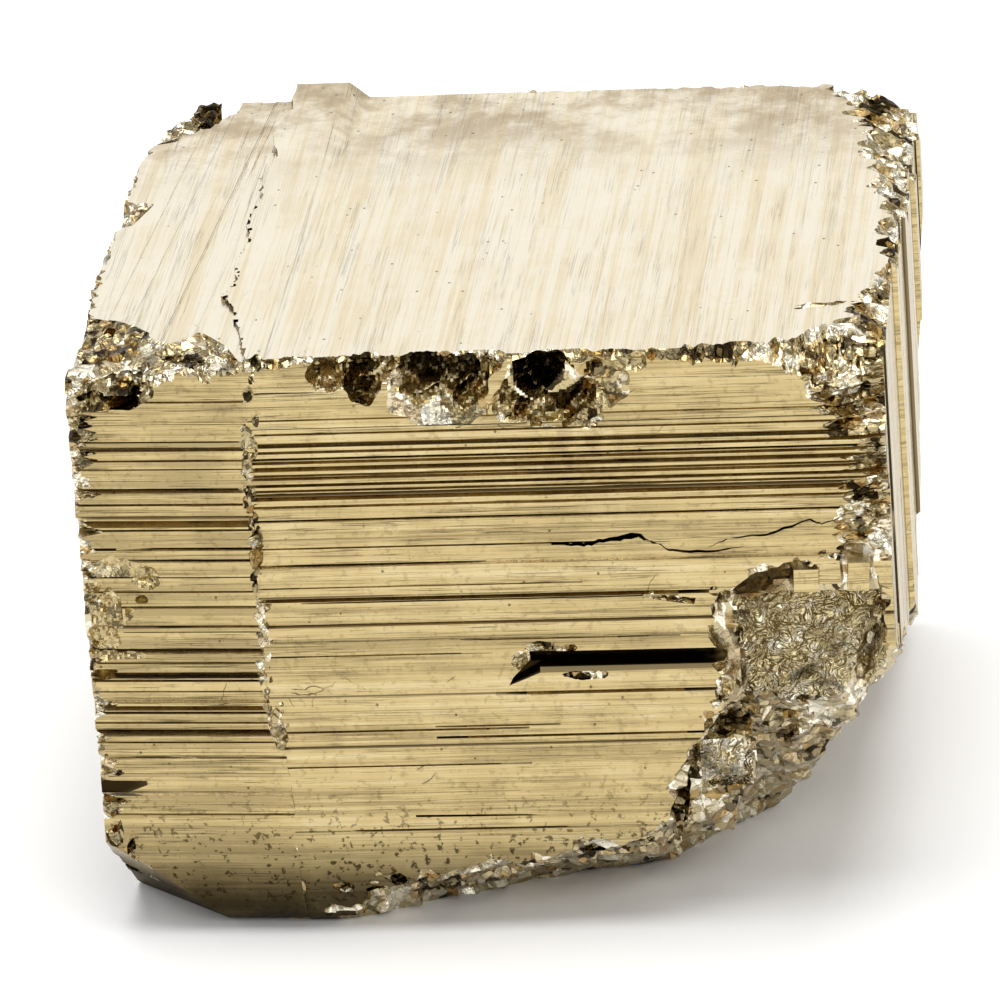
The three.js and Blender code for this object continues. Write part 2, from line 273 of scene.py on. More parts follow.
def loft(sections: list[np.ndarray], stations: np.ndarray, axis: Axis) -> Shell:
    """Runs a closed outline along an axis.

    Args:
        sections: the outline at each station, as points in the other two axes, in x, y, z order.
        stations: places along the axis.
        axis: the axis.

    Returns:
        A closed shell with flat ends.
    """
    count = len(sections[0])
    others = [number for number in range(3) if number != axis.value]
    rings = []
    for section, station in zip(sections, stations, strict=True):
        ring = np.empty((count, 3))
        ring[:, others] = section
        ring[:, axis.value] = station
        rings.append(ring)
    faces: list[tuple[int, ...]] = []
    for ring in range(len(rings) - 1):
        for corner in range(count):
            after = (corner + 1) % count
            low, high = ring * count, (ring + 1) * count
            faces.append((low + corner, low + after, high + after, high + corner))
    last = (len(rings) - 1) * count
    faces.append(tuple(reversed(range(count))))
    faces.append(tuple(range(last, last + count)))
    shell = Shell(np.vstack(rings), faces)
    return shell if volume(shell) > 0 else Shell(shell.vertices, [tuple(reversed(face)) for face in faces])


def volume(shell: Shell) -> float:
    """Returns the signed volume of a shell, positive where its faces point out."""
    total = 0.0
    corners = shell.vertices
    for face in shell.faces:
        first = corners[face[0]]
        for one, two in zip(face[1:-1], face[2:], strict=True):
            total += float(np.dot(first, np.cross(corners[one], corners[two])))
    return total / 6


def hull(points: np.ndarray | list[Point]) -> Shell:
    """Wraps points in their convex hull.

    Args:
        points: the points.

    Returns:
        A closed shell.
    """
    form = bmesh.new()
    corners = [form.verts.new(point) for point in points]
    bmesh.ops.convex_hull(form, input=corners)
    bmesh.ops.delete(form, geom=[corner for corner in form.verts if not corner.link_faces], context="VERTS")
    bmesh.ops.recalc_face_normals(form, faces=form.faces)
    form.verts.index_update()
    shell = Shell(
        np.array([corner.co[:] for corner in form.verts]),
        [tuple(corner.index for corner in face.verts) for face in form.faces],
    )
    form.free()
    return shell


def box(center: Point, size: Point, turn: tuple[float, float, float]) -> Shell:
    """Makes a small turned block.

    Args:
        center: its middle.
        size: its full lengths.
        turn: turns about x, y and z, in degrees.

    Returns:
        A closed shell.
    """
    spin = np.array(Euler([math.radians(angle) for angle in turn]).to_matrix())
    signs = [(x, y, z) for x in (-0.5, 0.5) for y in (-0.5, 0.5) for z in (-0.5, 0.5)]
    return hull([tuple(np.array(center) + spin @ (np.array(sign) * size)) for sign in signs])


class Rubble:
    """Seeded source of rough lumps, blocks and rows of them."""

    def __init__(self, seed: int) -> None:
        """Starts the source at a seed."""
        self.draw = random.Random(seed)

    def lump(self, center: Point, size: Point, corners: int = 11) -> Shell:
        """Makes a rough many-sided lump.

        Args:
            center: its middle.
            size: half lengths along x, y and z.
            corners: how many corner points it is drawn from.

        Returns:
            A closed shell.
        """
        points = []
        for number in range(corners):
            lift = 1 - 2 * (number + 0.5) / corners
            turn = number * 2.399963 + self.draw.uniform(-0.5, 0.5)
            ring = math.sqrt(1 - lift * lift)
            reach = self.draw.uniform(0.72, 1.2)
            way = (ring * math.cos(turn), ring * math.sin(turn), lift)
            points.append(tuple(c + s * reach * w for c, s, w in zip(center, size, way, strict=True)))
        return hull(points)

    def row(self, start: Point, end: Point, count: int, reach: Pair, spread: float, corners: int = 11) -> list[Shell]:
        """Makes lumps along a line, each longer along it than across.

        Args:
            start: first end of the line.
            end: other end of the line.
            count: how many lumps.
            reach: smallest and largest half length.
            spread: how far lumps stray from the line.
            corners: corner points of each lump.

        Returns:
            The lumps.
        """
        along = [abs(b - a) for a, b in zip(start, end, strict=True)]
        main = along.index(max(along))
        lumps = []
        for number in range(count):
            share = (number + self.draw.uniform(0.1, 0.9)) / count
            half = self.draw.uniform(*reach) if self.draw.random() > 0.3 else reach[0]
            center = tuple(
                a + (b - a) * share + self.draw.uniform(-spread, spread) for a, b in zip(start, end, strict=True)
            )
            size = tuple(half * self.draw.uniform(*((1.0, 1.8) if way == main else (0.55, 1.0))) for way in range(3))
            lumps.append(self.lump(center, size, corners))
        return lumps

    def blocks(self, low: Point, high: Point, count: int, side: Pair, tilt: float) -> list[Shell]:
        """Makes small cubic blocks inside a box.

        Args:
            low: lowest corner of the box.
            high: highest corner.
            count: how many blocks.
            side: smallest and largest edge.
            tilt: most that one turns about each axis, in degrees.

        Returns:
            The blocks.
        """
        made = []
        for _ in range(count):
            center = tuple(self.draw.uniform(a, b) for a, b in zip(low, high, strict=True))
            edge = self.draw.uniform(*side)
            size = tuple(edge * self.draw.uniform(0.7, 1.3) for _ in range(3))
            turn = tuple(self.draw.uniform(-tilt, tilt) for _ in range(3))
            made.append(box(center, size, turn))
        return made


@dataclass(frozen=True)
class Scoop:
    """One shell-like break in the front, with ribs in arcs about its middle.

    Args:
        x: its middle along the face.
        z: its middle height.
        wide: half its width.
        tall: half its height.
        deep: its depth in the middle.
        ribs: how many ribs it has.
    """

    x: float
    z: float
    wide: float
    tall: float
    deep: float
    ribs: int = 3

    def depth(self, x: np.ndarray, z: np.ndarray) -> np.ndarray:
        """Returns how deep it is at each place, below zero outside its rim."""
        across, up = (x - self.x) / self.wide, (z - self.z) / self.tall
        bearing = np.arctan2(up, across)
        uneven = 1 + 0.07 * np.sin(3 * bearing + self.x) + 0.05 * np.sin(8 * bearing + self.z)
        away = np.hypot(across, up) / uneven
        return self.deep * (1 - away**2 - 0.5 / self.ribs * ((away * self.ribs) % 1.0))


@dataclass(frozen=True)
class Blade:
    """A thin curved blade of metal that stands up in a hollow.

    Args:
        x: middle of its arc along the face.
        z: middle height of its arc.
        wide: half width of its arc.
        tall: half height of its arc.
        start: bearing of its first end, in degrees.
        sweep: how far its arc goes on from there, in degrees.
        thick: half its thickness, as a share of the arc's size.
        rise: how far it stands up.
    """

    x: float
    z: float
    wide: float
    tall: float
    start: float
    sweep: float
    thick: float = 0.1
    rise: float = 1.5

    def height(self, x: np.ndarray, z: np.ndarray) -> np.ndarray:
        """Returns how far it stands up at each place."""
        across, up = (x - self.x) / self.wide, (z - self.z) / self.tall
        along = ((np.degrees(np.arctan2(up, across)) - self.start) % 360) / self.sweep
        taper = np.sqrt(np.clip(4 * along * (1 - along), 0, 1))
        off = np.abs(np.hypot(across, up) - 1) / (self.thick * np.maximum(taper, 0.05))
        return self.rise * np.clip(2.2 * (1 - off), 0, 1) * (taper > 0)


@dataclass(frozen=True)
class Hollows:
    """A stretch of the front with its shell-like breaks, as one cutter.

    Args:
        low: lowest x and z.
        high: highest x and z.
        scoops: the breaks.
        blades: the blades between them.
        rough: height of the small facets.
        seed: seed of the facets.
        pitch: fineness of the surface.
    """

    low: Pair
    high: Pair
    scoops: tuple[Scoop, ...]
    blades: tuple[Blade, ...] = ()
    rough: float = 0.2
    seed: int = 71
    pitch: float = 0.16

    def cutter(self) -> Shell:
        """Returns the closed shell between the open air and the floor of the breaks."""
        stations = np.arange(self.low[0], self.high[0], self.pitch)
        rows = np.arange(self.low[1], self.high[1], self.pitch)
        x, z = np.meshgrid(stations, rows, indexing="ij")
        depth = np.maximum.reduce([scoop.depth(x, z) for scoop in self.scoops])
        depth *= np.where(depth > 0, np.clip((39.6 - z) / 1.6, 0.4, 1), 1)
        places = np.column_stack((x.ravel(), np.zeros(x.size), z.ravel()))
        facets = facet_noise(places, 0.9, self.seed) + 0.5 * facet_noise(places, 0.4, self.seed + 1)
        depth += self.rough * facets.reshape(x.shape) * np.clip(depth / 0.5, 0, 1)
        rise = np.maximum.reduce([blade.height(x, z) for blade in self.blades] or [np.zeros_like(x)])
        depth = np.where(depth > 0.1, np.maximum(depth - rise, 0.1), np.maximum(depth, -0.8))
        floor = depth + np.maximum(0.0, LEFT_PIVOT_X - x) * math.tan(-LEFT_YAW)
        ends = np.array([(-OVER, rows[-1]), (-OVER, rows[0])])
        sections = [np.vstack((np.column_stack((line, rows)), ends)) for line in floor]
        return loft(sections, stations, Axis.X)


@dataclass
class Groove:
    """A thin dark groove between two ledges.

    Args:
        place: where it lies across the face.
        depth: how deep it is.
        width: how wide it is.
        start: where it begins along the face.
        end: where it runs out.
    """

    place: float
    depth: float = 0.25
    width: float = 0.14
    start: float = -99.0
    end: float = 99.0

    def at(self, rows: np.ndarray, station: float) -> np.ndarray:
        """Returns its depth at each row of one station along the face."""
        fade = np.clip((station - self.start) / 1.2, 0, 1) * np.clip((self.end - station) / 2.4, 0, 1)
        away = np.abs(rows - self.place) / (self.width / 2)
        return self.depth * fade * np.clip(1.0 - away, 0, 1)

    def rows(self) -> list[float]:
        """Returns the rows that its shape needs."""
        return [self.place - self.width / 2, self.place, self.place + self.width / 2]


@dataclass
class Relief:
    """Ledges and grooves that run along one face of a crystal.

    Args:
        ledges: place of each ledge and how far the band below it stands back.
        grooves: dark grooves.
        fine: how many fine steps are spread over the face.
        fine_depth: most that one fine step stands back.
        seed: seed of the fine steps.
        sway: how far the surface swells along the face.
    """

    ledges: list[Pair]
    grooves: list[Groove] = field(default_factory=list)
    fine: int = 90
    fine_depth: float = 0.02
    seed: int = 1
    sway: float = 0.03

    def __post_init__(self) -> None:
        """Draws the fine steps once."""
        self.draw = random.Random(self.seed)
        self.steps: list[tuple[float, float, float, float]] = []

    def _fine_steps(self, low: float, high: float) -> None:
        """Draws the place, depth and reach of each fine step between two limits."""
        for _ in range(self.fine):
            middle = self.draw.uniform(0, 50)
            reach = self.draw.uniform(6, 60)
            self.steps.append((
                self.draw.uniform(low, high), self.draw.uniform(-1, 1) * self.fine_depth, middle - reach,
                middle + reach,
            ))
        self.steps.sort()

    def rows(self, low: float, high: float) -> np.ndarray:
        """Works out the rows across the face.

        Args:
            low: first place across the face.
            high: last place.

        Returns:
            Their places, sorted.
        """
        self._fine_steps(low, high)
        places = [low, high]
        for place, _ in self.ledges:
            places += [place - RISER / 2, place + RISER / 2]
        for groove in self.grooves:
            places += groove.rows()
        for place, _, _, _ in self.steps:
            places += [place - 0.02, place + 0.02]
        inside = np.array(sorted(place for place in places if low <= place <= high))
        keep = np.concatenate(([True], np.diff(inside) > 0.008))
        return inside[keep]

    def depth(self, rows: np.ndarray, station: float) -> np.ndarray:
        """Works out how far the face stands back at one station.

        Args:
            rows: places across the face.
            station: place along the face.

        Returns:
            The depth at each row.
        """
        places, levels = [-99.0], [self.ledges[0][1]]
        for number, (place, _) in enumerate(self.ledges):
            after = self.ledges[min(number + 1, len(self.ledges) - 1)][1]
            places += [place - RISER / 2, place + RISER / 2]
            levels += [levels[-1], after]
        result = np.interp(rows, places, levels)
        for groove in self.grooves:
            result += groove.at(rows, station)
        fine = np.zeros_like(rows)
        for place, height, start, end in self.steps:
            share = np.clip((station - start) / 3, 0, 1) * np.clip((end - station) / 3, 0, 1)
            fine += height * share * (np.clip((rows - place) / 0.04 + 0.5, 0, 1) - 0.5)
        trend = np.convolve(np.pad(fine, 15, mode="edge"), np.ones(31) / 31, mode="valid")
        result += np.clip(fine - trend + 0.5 * self.fine_depth, 0, 3 * self.fine_depth)
        swell = np.sin(rows * 0.23 + station * 0.11) + np.sin(rows * 0.09 - station * 0.17 + 1.0)
        return result + self.sway * (0.5 + 0.25 * swell)


def random_relief(length: float, count: int, depth: float, seed: int) -> Relief:
    """Makes the relief of a face that the main view does not show.

    Args:
        length: how far the face reaches across its ledges.
        count: how many ledges.
        depth: most that a band stands back.
        seed: seed of the draw.

    Returns:
        The relief.
    """
    draw = random.Random(seed)
    pitch = length / (count + 1)
    ledges = [(number * pitch + draw.uniform(-0.3, 0.3) * pitch, draw.uniform(0, depth)) for number in range(1, count + 1)]
    grooves = []
    for _ in range(count):
        start = draw.uniform(-30, 30)
        grooves.append(Groove(draw.uniform(1, length - 1), draw.uniform(0.1, 0.35), 0.16, start,
                              start + draw.uniform(12, 60)))
    return Relief(ledges, grooves, fine=80, seed=seed + 1)


@dataclass
class Crystal:
    """One cubic crystal of the block, striated along x in front, along y on top and upright at its sides.

    Args:
        name: the crystal's name.
        left: its left side.
        right: its right side.
        top: height of its top.
        front: relief of the front.
        back: relief of the back.
        left_side: relief of the left side.
        right_side: relief of the right side.
        roof: relief of the top.
        toe: how the front turns under, as (y, z) from the underside up.
        yaw: turn of its front and top about the seam, in radians.
        stations: how many sections each prism has.
    """

    name: str
    left: float
    right: float
    top: float
    front: Relief
    back: Relief
    left_side: Relief
    right_side: Relief
    roof: Relief
    toe: list[Pair]
    yaw: float = 0.0
    stations: int = 20

    def side_prism(self) -> Shell:
        """Returns the prism along x, with the ledges of the front and the back."""
        low = self.toe[-1][1]
        front_rows = self.front.rows(low, self.top + OVER)
        back_rows = self.back.rows(0, self.top + OVER)[::-1]
        places = np.linspace(self.left - OVER, self.right + OVER, self.stations)
        sections = []
        for place in places:
            front = np.column_stack((self.front.depth(front_rows, place), front_rows))
            back = np.column_stack((DEPTH - self.back.depth(back_rows, place), back_rows))
            back[-1] = (DEPTH, 0.0)
            sections.append(np.vstack((np.array(self.toe[:-1]), front, back)))
        return loft(sections, places, Axis.X)

    def plan_prism(self) -> Shell:
        """Returns the prism along z, with the upright ledges of both sides."""
        left_rows = self.left_side.rows(-OVER, DEPTH)[::-1]
        right_rows = self.right_side.rows(-OVER, DEPTH)
        places = np.linspace(0, self.top + 2 * OVER, self.stations)
        sections = []
        for place in places:
            right = np.column_stack((self.right - self.right_side.depth(right_rows, place), right_rows))
            left = np.column_stack((self.left + self.left_side.depth(left_rows, place), left_rows))
            sections.append(np.vstack((right, left)))
        return loft(sections, places, Axis.Z)

    def roof_height(self, rows: np.ndarray, place: float) -> np.ndarray:
        """Returns the height of the top at each row across it, at one place along y."""
        return self.top - self.roof.depth(rows, place)

    def roof_prism(self) -> Shell:
        """Returns the prism along y, with the low ledges of the top."""
        rows = self.roof.rows(self.left - OVER, self.right + OVER)[::-1]
        places = np.linspace(-2 * OVER, DEPTH + 2 * OVER, self.stations + 8)
        sections = []
        for place in places:
            ends = np.array([(rows[-1], 0.0), (rows[0], 0.0)])
            sections.append(np.vstack((ends, np.column_stack((rows, self.roof_height(rows, place))))))
        return loft(sections, places, Axis.Y)

    def build(self) -> Solid:
        """Returns the crystal, cut from its three prisms."""
        side = self.side_prism().turned(self.yaw, LEFT_PIVOT_X)
        roof = self.roof_prism().turned(self.yaw, LEFT_PIVOT_X)
        solid = Solid(self.name, side, Surface.CRYSTAL)
        solid.apply(Operation.KEEP, [self.plan_prism()], Surface.CRYSTAL)
        return solid.apply(Operation.KEEP, [roof], Surface.CRYSTAL)


@dataclass
class MainCrystal(Crystal):
    """The large crystal, with a raised strip that comes in from the back edge of its top."""

    def roof_height(self, rows: np.ndarray, place: float) -> np.ndarray:
        """Returns the height of the top, with the raised strip."""
        flat = super().roof_height(rows, place)
        share = min(1.0, max(0.0, (place - 22.0) / (DEPTH - 22.0)))
        left_edge = 9.8 - 5.2 * share
        right_edge = 12.8 + 1.4 * share
        rise = np.clip((rows - left_edge) / (0.6 + 2.6 * share), 0, 1) * np.clip((right_edge - rows) / 1.3, 0, 1)
        return flat + HUMP_HEIGHT * share**0.8 * rise


LEFT_LEDGES: list[Pair] = [
    (5.6, 0.1), (8.3, 0.2), (9.7, 0.05), (10.9, 0.3), (12.2, 0.12), (13.4, 0.3), (13.9, 0.05), (15.4, 0.34),
    (16.0, 0.1), (17.5, 0.4), (17.9, 0.12), (18.9, 0.28), (19.4, 0.1), (20.7, 0.35), (21.2, 0.15), (22.4, 0.05),
    (24.4, 0.25), (25.5, 0.1), (26.2, 0.3), (27.6, 0.5), (28.4, 0.1), (29.8, 0.3), (30.2, 0.06), (31.6, 0.22),
    (32.9, 0.1), (34.6, 0.2), (36.2, 0.05),
]
RIGHT_LEDGES: list[Pair] = [
    (7.1, 0.12), (8.1, 0.16), (10.5, 0.13), (11.5, 0.15), (12.8, 0.12), (13.4, 0.3), (15.3, 0.12), (16.3, 0.08),
    (19.2, 0.14), (20.0, 0.11), (21.0, 0.14), (22.6, 0.38), (23.0, 0.1), (25.0, 0.14), (26.2, 0.4), (26.8, 0.12),
    (28.0, 0.26), (29.2, 0.42), (29.8, 0.1), (30.5, 0.34), (31.4, 0.14), (32.1, 0.28), (32.7, 0.4), (33.2, 0.05),
    (34.2, 0.2), (35.2, 0.04),
]
LEFT_SIDE_LEDGES: list[Pair] = [
    (3.2, 0.1), (6.0, 0.4), (10.4, 0.55), (13.0, 0.35), (16.6, 0.2), (20.1, 0.0), (24.4, 0.2), (27.6, 0.05),
    (33.0, 0.0), (36.4, 0.15), (40.2, 0.4), (43.0, 0.6), (45.0, 0.8),
]
LEFT_ROOF_LEDGES: list[Pair] = [
    (1.6, 0.06), (3.1, 0.03), (4.6, 0.0), (5.5, 0.07), (6.1, 0.0), (7.4, 0.03), (8.6, 0.0),
]
RIGHT_ROOF_LEDGES: list[Pair] = [
    (9.5, 0.0), (12.9, 0.03), (13.6, 0.0), (19.0, 0.02), (27.0, 0.0), (34.5, 0.03), (40.2, 0.01), (42.6, 0.03),
    (44.0, 0.01), (46.2, 0.04),
]

# The line where the two crystals meet, on the front face as (x, z) and on the top as (x, y)
FRONT_SEAM: list[Pair] = [
    (12.3, -OVER), (12.3, 7.8), (12.0, 12.6), (11.6, 13.8), (11.5, 15.2), (10.9, 17.0), (11.3, 19.6), (11.1, 23.0),
    (11.3, 26.4), (11.0, 30.0), (11.2, 33.0), (11.5, 35.6), (11.4, HEIGHT + OVER),
]
TOP_SEAM: list[Pair] = [
    (11.3, -OVER), (10.9, 3.0), (9.8, 8.8), (8.8, 11.2), (9.4, 14.0), (8.8, 17.3), (9.3, 21.0), (8.7, 24.6),
    (9.2, 28.0), (8.9, 30.4), (9.4, 34.0), (8.9, 37.6), (9.6, 42.0), (9.3, DEPTH + OVER),
]
BROKEN_EDGE: list[Pair] = [
    (49.2, 25.2), (47.9, 25.7), (46.4, 24.8), (43.3, 24.0), (40.8, 23.6), (39.2, 22.3), (38.4, 19.6),
    (39.6, 18.3), (40.1, 16.2), (39.2, 14.2), (43.0, 12.4), (53.0, 12.4), (53.0, 17.6), (49.6, 18.8), (49.4, 22.0),
]


def jagged(line: list[Pair], count: int, spread: float, seed: int) -> list[Pair]:
    """Breaks a line of (sideways, along) points into small teeth.

    Args:
        line: the line.
        count: how many points each stretch gets.
        spread: how far a point strays sideways.
        seed: seed of the draw.

    Returns:
        The finer line.
    """
    draw = random.Random(seed)
    finer = [line[0]]
    for (x0, a0), (x1, a1) in zip(line[:-1], line[1:], strict=True):
        for number in range(1, count + 1):
            share = number / count
            stray = draw.uniform(-spread, spread)
            finer.append((x0 + (x1 - x0) * share + stray, a0 + (a1 - a0) * share))
    return finer


def seam_mask() -> Solid:
    """Returns everything on the left crystal's side of the seam."""
    top_line = [*jagged(TOP_SEAM, 4, 0.16, 5), (-9.0, DEPTH + OVER), (-9.0, -OVER)]
    front_line = [*jagged(FRONT_SEAM, 5, 0.14, 6), (-9.0, HEIGHT + OVER), (-9.0, -OVER)]
    plan = loft([np.array(top_line)] * 2, np.array([-OVER, HEIGHT + OVER]), Axis.Z)
    slab = box((20.0, (SLAB - OVER) / 2, HEIGHT / 2), (60.0, SLAB + OVER, HEIGHT + 4 * OVER), (0, 0, 0))
    front = loft([np.array(front_line)] * 2, np.array([-OVER, SLAB]), Axis.Y)
    mask = Solid("seam_mask", plan)
    mask.apply(Operation.CUT, [slab])
    return mask.apply(Operation.JOIN, [front])


def left_crystal() -> Crystal:
    """Returns the narrow crystal on the left."""
    grooves = [
        Groove(30.2, 0.45, 0.26), Groove(28.0, 0.7, 0.46), Groove(27.5, 0.6, 0.3), Groove(26.2, 0.3, 0.14, 3.6),
        Groove(25.5, 0.25, 0.12, 4.0), Groove(20.7, 0.35, 0.16, 3.0), Groove(19.4, 0.45, 0.28),
        Groove(18.6, 0.2, 0.12), Groove(17.8, 0.6, 0.34), Groove(17.4, 0.5, 0.26), Groove(15.6, 0.6, 0.32),
        Groove(15.2, 0.35, 0.16), Groove(13.9, 0.6, 0.34), Groove(13.2, 0.2, 0.12), Groove(12.2, 0.2, 0.12, 1.0, 6.5),
        Groove(31.6, 0.2, 0.14), Groove(32.9, 0.25, 0.16), Groove(33.4, 0.12, 0.1), Groove(34.6, 0.12, 0.1),
        Groove(33.0, 0.3, 0.18), Groove(32.2, 0.25, 0.14), Groove(36.1, 0.2, 0.12), Groove(29.2, 0.3, 0.16),
        Groove(24.4, 0.2, 0.14), Groove(23.4, 0.2, 0.12), Groove(22.4, 0.15, 0.1), Groove(21.1, 0.2, 0.14, 4.0),
        Groove(16.6, 0.14, 0.1), Groove(14.5, 0.16, 0.1), Groove(10.9, 0.16, 0.1), Groove(8.4, 0.14, 0.1),
    ]
    return Crystal(
        "left_crystal", 0.0, 16.0, LEFT_TOP,
        front=Relief(LEFT_LEDGES, grooves, fine=90, fine_depth=0.016, seed=11),
        back=random_relief(HEIGHT, 14, 0.5, 12),
        left_side=Relief(LEFT_SIDE_LEDGES, [], fine=90, seed=13),
        right_side=Relief([(20.0, 0.0), (30.0, 0.0)], [], fine=0, seed=14),
        roof=Relief(LEFT_ROOF_LEDGES, [Groove(5.6, 0.03, 0.12), Groove(6.1, 0.02, 0.1)], fine=60, fine_depth=0.01, seed=15,
                    sway=0.02),
        toe=[(3.0, 0.0), (2.4, 0.15), (1.9, 0.45), (1.4, 0.9), (1.0, 1.4), (0.7, 2.0), (0.45, 2.7), (0.2, 4.0)],
        yaw=LEFT_YAW, stations=10,
    )


def main_crystal() -> MainCrystal:
    """Returns the large crystal on the right."""
    grooves = [
        Groove(33.1, 0.45, 0.24), Groove(32.6, 0.6, 0.34), Groove(32.1, 0.2, 0.12), Groove(31.5, 0.4, 0.24),
        Groove(30.9, 0.35, 0.2), Groove(30.4, 0.55, 0.28), Groove(29.6, 0.5, 0.28), Groove(28.9, 0.3, 0.18),
        Groove(28.0, 0.2, 0.12), Groove(26.2, 0.4, 0.24, 11.0, 32.0), Groove(25.0, 0.3, 0.14, 11.0, 25.0),
        Groove(23.6, 0.14, 0.1, 11.0, 30.0), Groove(22.8, 0.55, 0.26, 10.0, 39.0), Groove(22.5, 0.35, 0.14, 14.0, 37.0),
        Groove(19.9, 0.14, 0.1, 24.0, 36.0), Groove(19.0, 0.14, 0.1, 11.0, 24.0),
        Groove(16.25, 0.4, 0.2, 25.5, 40.0), Groove(14.1, 0.25, 0.12, 22.0, 28.5), Groove(13.9, 0.3, 0.14, 11.0, 26.5),
        Groove(13.3, 0.4, 0.18, 22.0, 38.0), Groove(11.5, 0.25, 0.12, 11.0, 26.0),
        Groove(33.8, 0.25, 0.14), Groove(31.9, 0.35, 0.2), Groove(31.1, 0.3, 0.16), Groove(30.0, 0.3, 0.16),
        Groove(34.2, 0.2, 0.12), Groove(34.8, 0.16, 0.12), Groove(36.6, 0.12, 0.1, 11.0, 16.0),
        Groove(7.1, 0.2, 0.14, 16.0, 30.0),
    ]
    return MainCrystal(
        "main_crystal", 6.0, WIDTH, HEIGHT,
        front=Relief(RIGHT_LEDGES, grooves, fine=90, fine_depth=0.011, seed=21),
        back=random_relief(HEIGHT, 18, 0.6, 22),
        left_side=Relief([(20.0, 0.0), (30.0, 0.0)], [], fine=0, seed=23),
        right_side=random_relief(DEPTH, 22, 0.4, 24),
        roof=Relief(RIGHT_ROOF_LEDGES, [Groove(12.6, 0.03, 0.14)], fine=110, fine_depth=0.008, seed=25, sway=0.02),
        toe=[(2.4, 0.0), (1.7, 0.5), (1.2, 1.2), (0.7, 2.4), (0.3, 4.0)],
        stations=26,
    )


def facet_noise(points: np.ndarray, cell: float, seed: int) -> np.ndarray:
    """Works out a broken, many-faceted noise: every cell is its own tilted flat.

    Args:
        points: places, in millimetres.
        cell: size of the cells.
        seed: seed of the draw.

    Returns:
        A value of about -1 to 1 at each place.
    """
    draw = np.random.default_rng(seed)
    low, high = points.min(axis=0) - cell, points.max(axis=0) + cell
    counts = np.maximum(2, ((high - low) / cell).astype(int))
    grid = np.stack(np.meshgrid(*[np.arange(count) for count in counts], indexing="ij"), axis=-1).reshape(-1, 3)
    seeds = low + (grid + draw.uniform(0.1, 0.9, grid.shape)) * cell
    tilts = draw.normal(0, 0.75, seeds.shape)
    heights = draw.uniform(-0.5, 0.5, len(seeds))
    tree = KDTree(len(seeds))
    for number, place in enumerate(seeds):
        tree.insert(place, number)
    tree.balance()
    nearest = np.array([tree.find(place)[1] for place in points])
    return heights[nearest] + np.einsum("ij,ij->i", points - seeds[nearest], tilts[nearest]) / cell


@dataclass
class WornEdge:
    """A crumbly strip broken off along one straight edge.

    Args:
        start: first end of the edge.
        end: other end.
        first: direction from the edge into its first face.
        second: direction from the edge into its other face.
        widths: (share of the way along, width on the first face, width on the other face), in order.
        seed: seed of the draw.
        pitch: distance between sections.
    """

    start: Point
    end: Point
    first: Point
    second: Point
    widths: list[tuple[float, float, float]]
    seed: int
    pitch: float = 0.28

    def cutter(self) -> Shell:
        """Returns the strip as a closed shell."""
        draw = random.Random(self.seed)
        start, end = np.array(self.start), np.array(self.end)
        length = float(np.linalg.norm(end - start))
        count = max(8, int(length / self.pitch))
        shares = [(number + draw.uniform(-0.3, 0.3)) / count for number in range(count + 1)]
        shares[0], shares[-1] = 0.0, 1.0
        bites = [self._bites(draw, length) for _ in range(2)]
        knots = [width[0] for width in self.widths]
        rings = []
        for share in shares:
            wide = [float(np.interp(share, knots, [width[side] for width in self.widths])) for side in (1, 2)]
            a, b = (w - (1 - self._profile(bite, share * length)) * min(w, 2.0)
                    for w, bite in zip(wide, bites, strict=True))
            m, n = draw.uniform(0.2, 0.85), draw.uniform(0.2, 0.85)
            outside = -1.6
            flat = [(outside, outside), (a, outside), (a, -0.04), (a * (0.45 + 0.5 * m), b * (0.1 + 0.4 * n)),
                    (a * (0.1 + 0.4 * m), b * (0.45 + 0.5 * n)), (-0.04, b), (outside, b)]
            center = start + (end - start) * share
            rings.append([center + np.array(self.first) * u + np.array(self.second) * w for u, w in flat])
        size = len(rings[0])
        faces: list[tuple[int, ...]] = []
        for ring in range(count):
            for corner in range(size):
                after = (corner + 1) % size
                one, two, three, four = (ring * size + corner, ring * size + after, (ring + 1) * size + after,
                                         (ring + 1) * size + corner)
                faces += [(one, two, three), (one, three, four)]
        last = count * size
        faces += [tuple(reversed(range(size))), tuple(range(last, last + size))]
        shell = Shell(np.vstack(rings), faces)
        return shell if volume(shell) > 0 else Shell(shell.vertices, [tuple(reversed(face)) for face in faces])

    @staticmethod
    def _bites(draw: random.Random, length: float) -> list[tuple[float, float, float]]:
        """Returns the middle, half length and height of each bite along an edge."""
        return [
            (draw.uniform(0, length), draw.choice((0.25, 0.4, 0.7, 1.3)) * draw.uniform(0.7, 1.4),
             draw.uniform(0.25, 1.0))
            for _ in range(int(length * 2.2))
        ]

    @staticmethod
    def _profile(bites: list[tuple[float, float, float]], place: float) -> float:
        """Returns the share of the full width that is broken off at a place."""
        deepest = 0.4
        for middle, half, height in bites:
            deepest = max(deepest, height * min(1.0, 1.7 * (1 - abs(place - middle) / half)))
        return deepest


